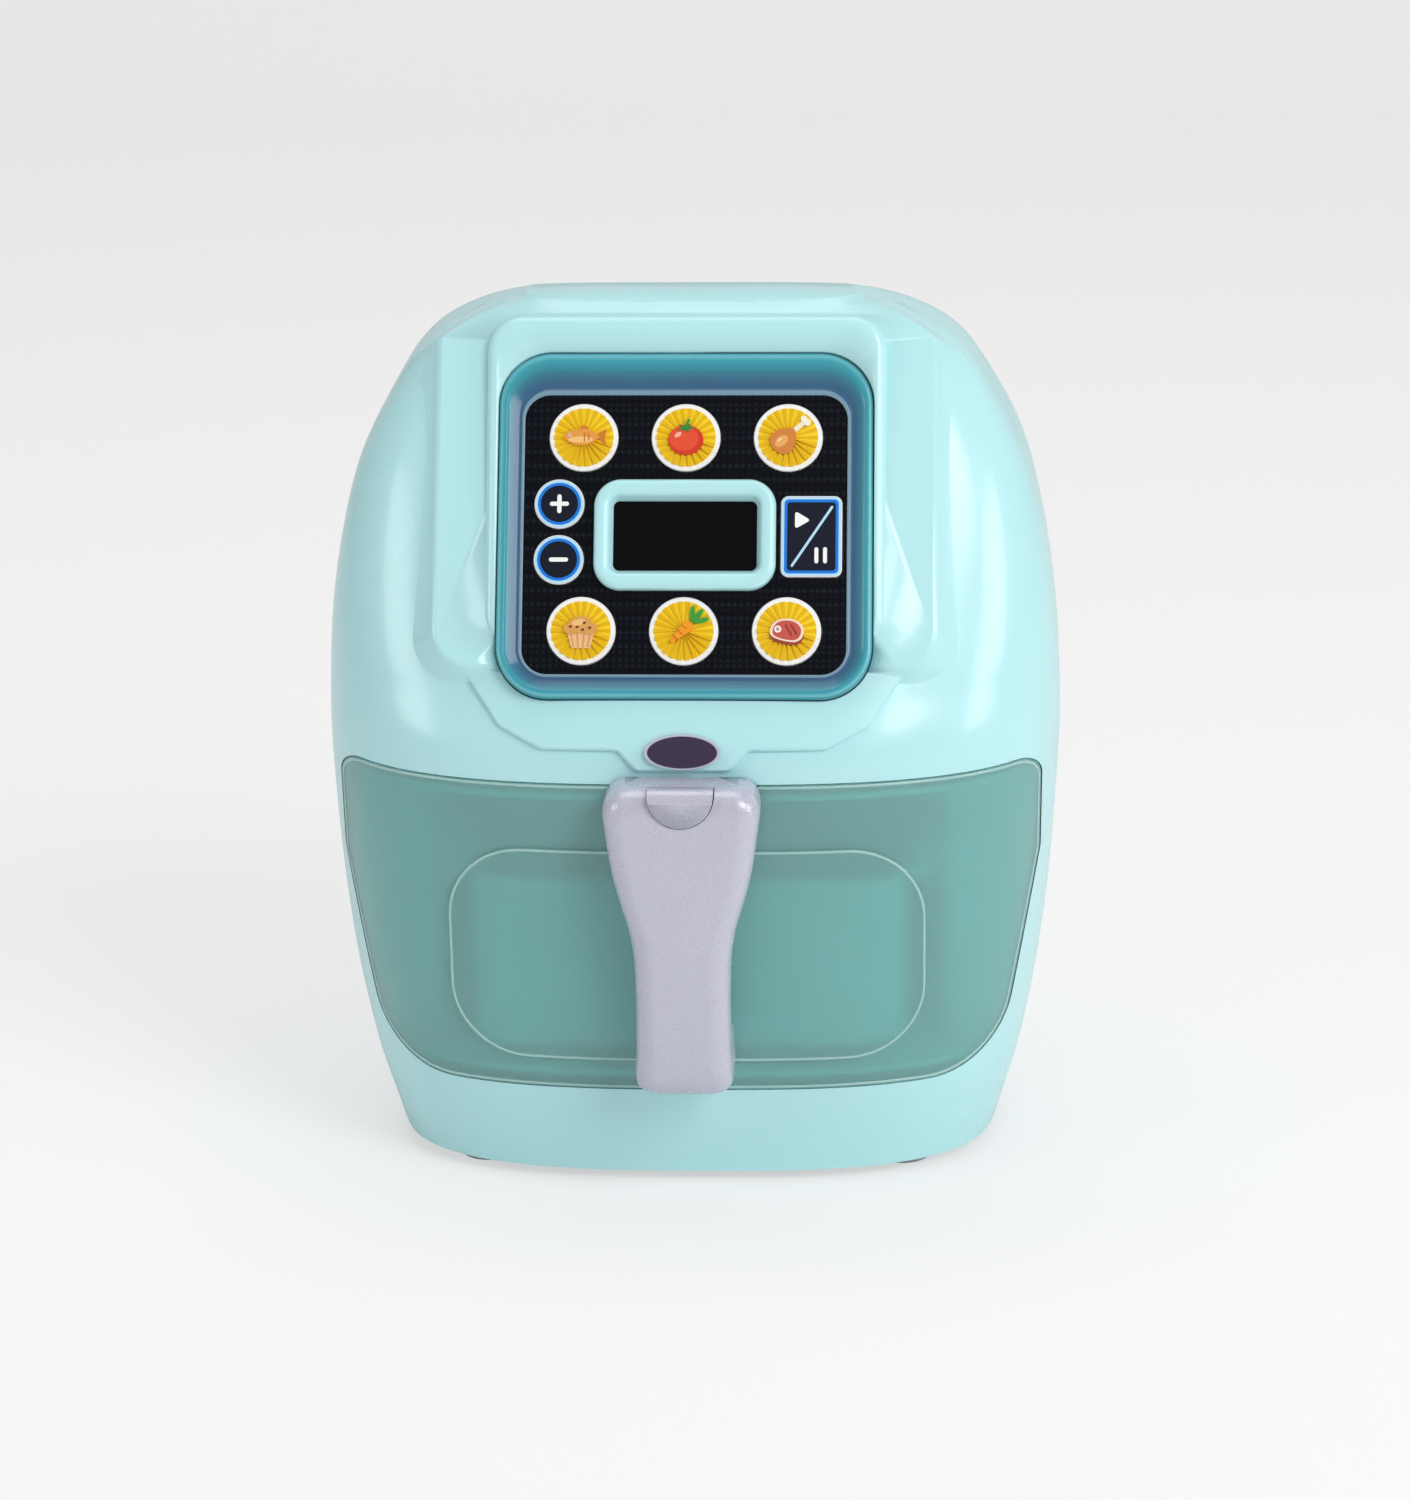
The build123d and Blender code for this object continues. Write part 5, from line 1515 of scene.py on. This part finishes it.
@dataclass
class Studio:
    """The plain floor and backdrop, the soft lights and the camera, in metres and watts.

    A lamp's row is its name, its place, the length of its side and its power.
    """

    camera_place: tuple[float, float, float] = (0.070, -1.2614, 0.4817)
    pitch: float = 0.29135
    yaw: float = 0.05370
    roll: float = -0.01201
    lens: float = 118.75
    sensor_width: float = 36.0
    world_strength: float = 0.33
    floor_half_width: float = 4.0
    floor_front: float = -3.0
    floor_back: float = 1.6
    wall_radius: float = 0.8
    wall_top: float = 3.5
    floor_tone: float = 0.9
    floor_glow: float = 0.55
    aim_height: float = 0.12
    lamps: tuple[tuple[str, tuple[float, float, float], float, float], ...] = (
        ("key_light", (1.2, -1.5, 1.5), 1.0, 23.5),
        ("right_strip", (1.3, -0.55, 0.5), 0.45, 3.9),
        ("left_strip", (-1.3, -0.75, 0.6), 0.5, 3.5),
        ("top_light", (-0.1, 0.3, 2.0), 1.4, 11.5),
    )

    def build(self) -> None:
        """Builds the floor, the world, the lights and the camera."""
        self._floor()
        self._world()
        for lamp in self.lamps:
            self._light(*lamp)
        self._camera()
        bpy.context.scene.view_settings.view_transform = "Standard"

    def _floor(self) -> None:
        """A sheet that runs back and curves up: a quarter circle joins floor and wall."""
        turn = np.linspace(0, np.pi / 2, 24)
        radius, back, wide = self.wall_radius, self.floor_back, self.floor_half_width
        y = np.concatenate([[self.floor_front], back + radius * np.sin(turn), [back + radius]])
        z = np.concatenate([[0.0], radius * (1 - np.cos(turn)), [self.wall_top]])
        points = np.array([[(x, b, c) for x in (-wide, wide)] for b, c in zip(y, z)])
        corner = np.arange(len(y) - 1) * 2
        quads = np.stack([corner, corner + 1, corner + 3, corner + 2], axis=1)
        mesh = quad_mesh("floor", points.reshape(-1, 3) / MM, quads)
        floor = bpy.data.objects.new("floor", mesh)
        bpy.context.scene.collection.objects.link(floor)
        mesh.materials.append(self._floor_finish())

    def _floor_finish(self) -> bpy.types.Material:
        """A matt pale face that the camera also sees glow a little.

        Returns:
            The floor's material.
        """
        material = bpy.data.materials.new("pale_floor")
        material.use_nodes = True
        tone = (self.floor_tone, self.floor_tone, self.floor_tone, 1)
        shader = material.node_tree.nodes["Principled BSDF"]
        fill(shader, {"Base Color": tone, "Roughness": 0.9})
        glow = add_node(material, "Emission", {"Color": (1, 1, 1, 1)})
        seen = add_node(material, "LightPath")
        share = add_node(
            material, "Math", {0: seen.outputs["Is Camera Ray"], 1: self.floor_glow}
        )
        share.operation = "MULTIPLY"
        inputs = {"Fac": share.outputs["Value"], 1: shader.outputs["BSDF"]}
        mix = add_node(material, "MixShader", inputs | {2: glow.outputs["Emission"]})
        fill(material.node_tree.nodes["Material Output"], {"Surface": mix.outputs["Shader"]})
        return material

    def _world(self) -> None:
        """An even pale world, white where the camera sees it."""
        world = bpy.data.worlds.new("studio")
        bpy.context.scene.world = world
        world.use_nodes = True
        seen = add_node(world, "LightPath").outputs["Is Camera Ray"]
        strength = add_node(
            world, "MapRange", {"Value": seen, "To Min": self.world_strength, "To Max": 1.0}
        )
        fill(
            world.node_tree.nodes["Background"],
            {"Color": (1, 1, 1, 1), "Strength": strength.outputs["Result"]},
        )

    def _light(
        self, name: str, place: tuple[float, float, float], size: float, power: float
    ) -> None:
        """A square soft light that faces the toy's middle.

        Args:
            name: The lamp's name.
            place: Where it stands.
            size: The length of its side.
            power: Its power in watts.
        """
        data = bpy.data.lights.new(name, "AREA")
        data.size = size
        data.energy = power
        lamp = bpy.data.objects.new(name, data)
        lamp.location = place
        aim = Vector((0, 0, self.aim_height)) - Vector(place)
        lamp.rotation_euler = aim.to_track_quat("-Z", "Y").to_euler()
        bpy.context.scene.collection.objects.link(lamp)

    def _camera(self) -> None:
        """The camera at the photograph's place, rolled, then tilted down, then turned."""
        data = bpy.data.cameras.new("camera")
        data.lens = self.lens
        data.sensor_width = self.sensor_width
        camera = bpy.data.objects.new("camera", data)
        camera.matrix_world = (
            Matrix.Translation(self.camera_place)
            @ Matrix.Rotation(self.yaw, 4, "Z")
            @ Matrix.Rotation(math.pi / 2 - self.pitch, 4, "X")
            @ Matrix.Rotation(self.roll, 4, "Z")
        )
        bpy.context.scene.collection.objects.link(camera)
        bpy.context.scene.camera = camera


def main() -> None:
    """Builds the toy's looks, piece by piece, and then the studio."""
    logging.basicConfig(level=logging.INFO, format="%(name)s: %(message)s")
    groups = (
        InnerPieces(),
        Shells(),
        PanelLines(),
        ReleaseSpring(),
        Window(),
        FoodKeys(),
        SignKeys(),
        Studio(),
    )
    for group in groups:
        group.build()
        LOG.info("%s done", type(group).__name__)


if __name__ == "__main__":
    main()
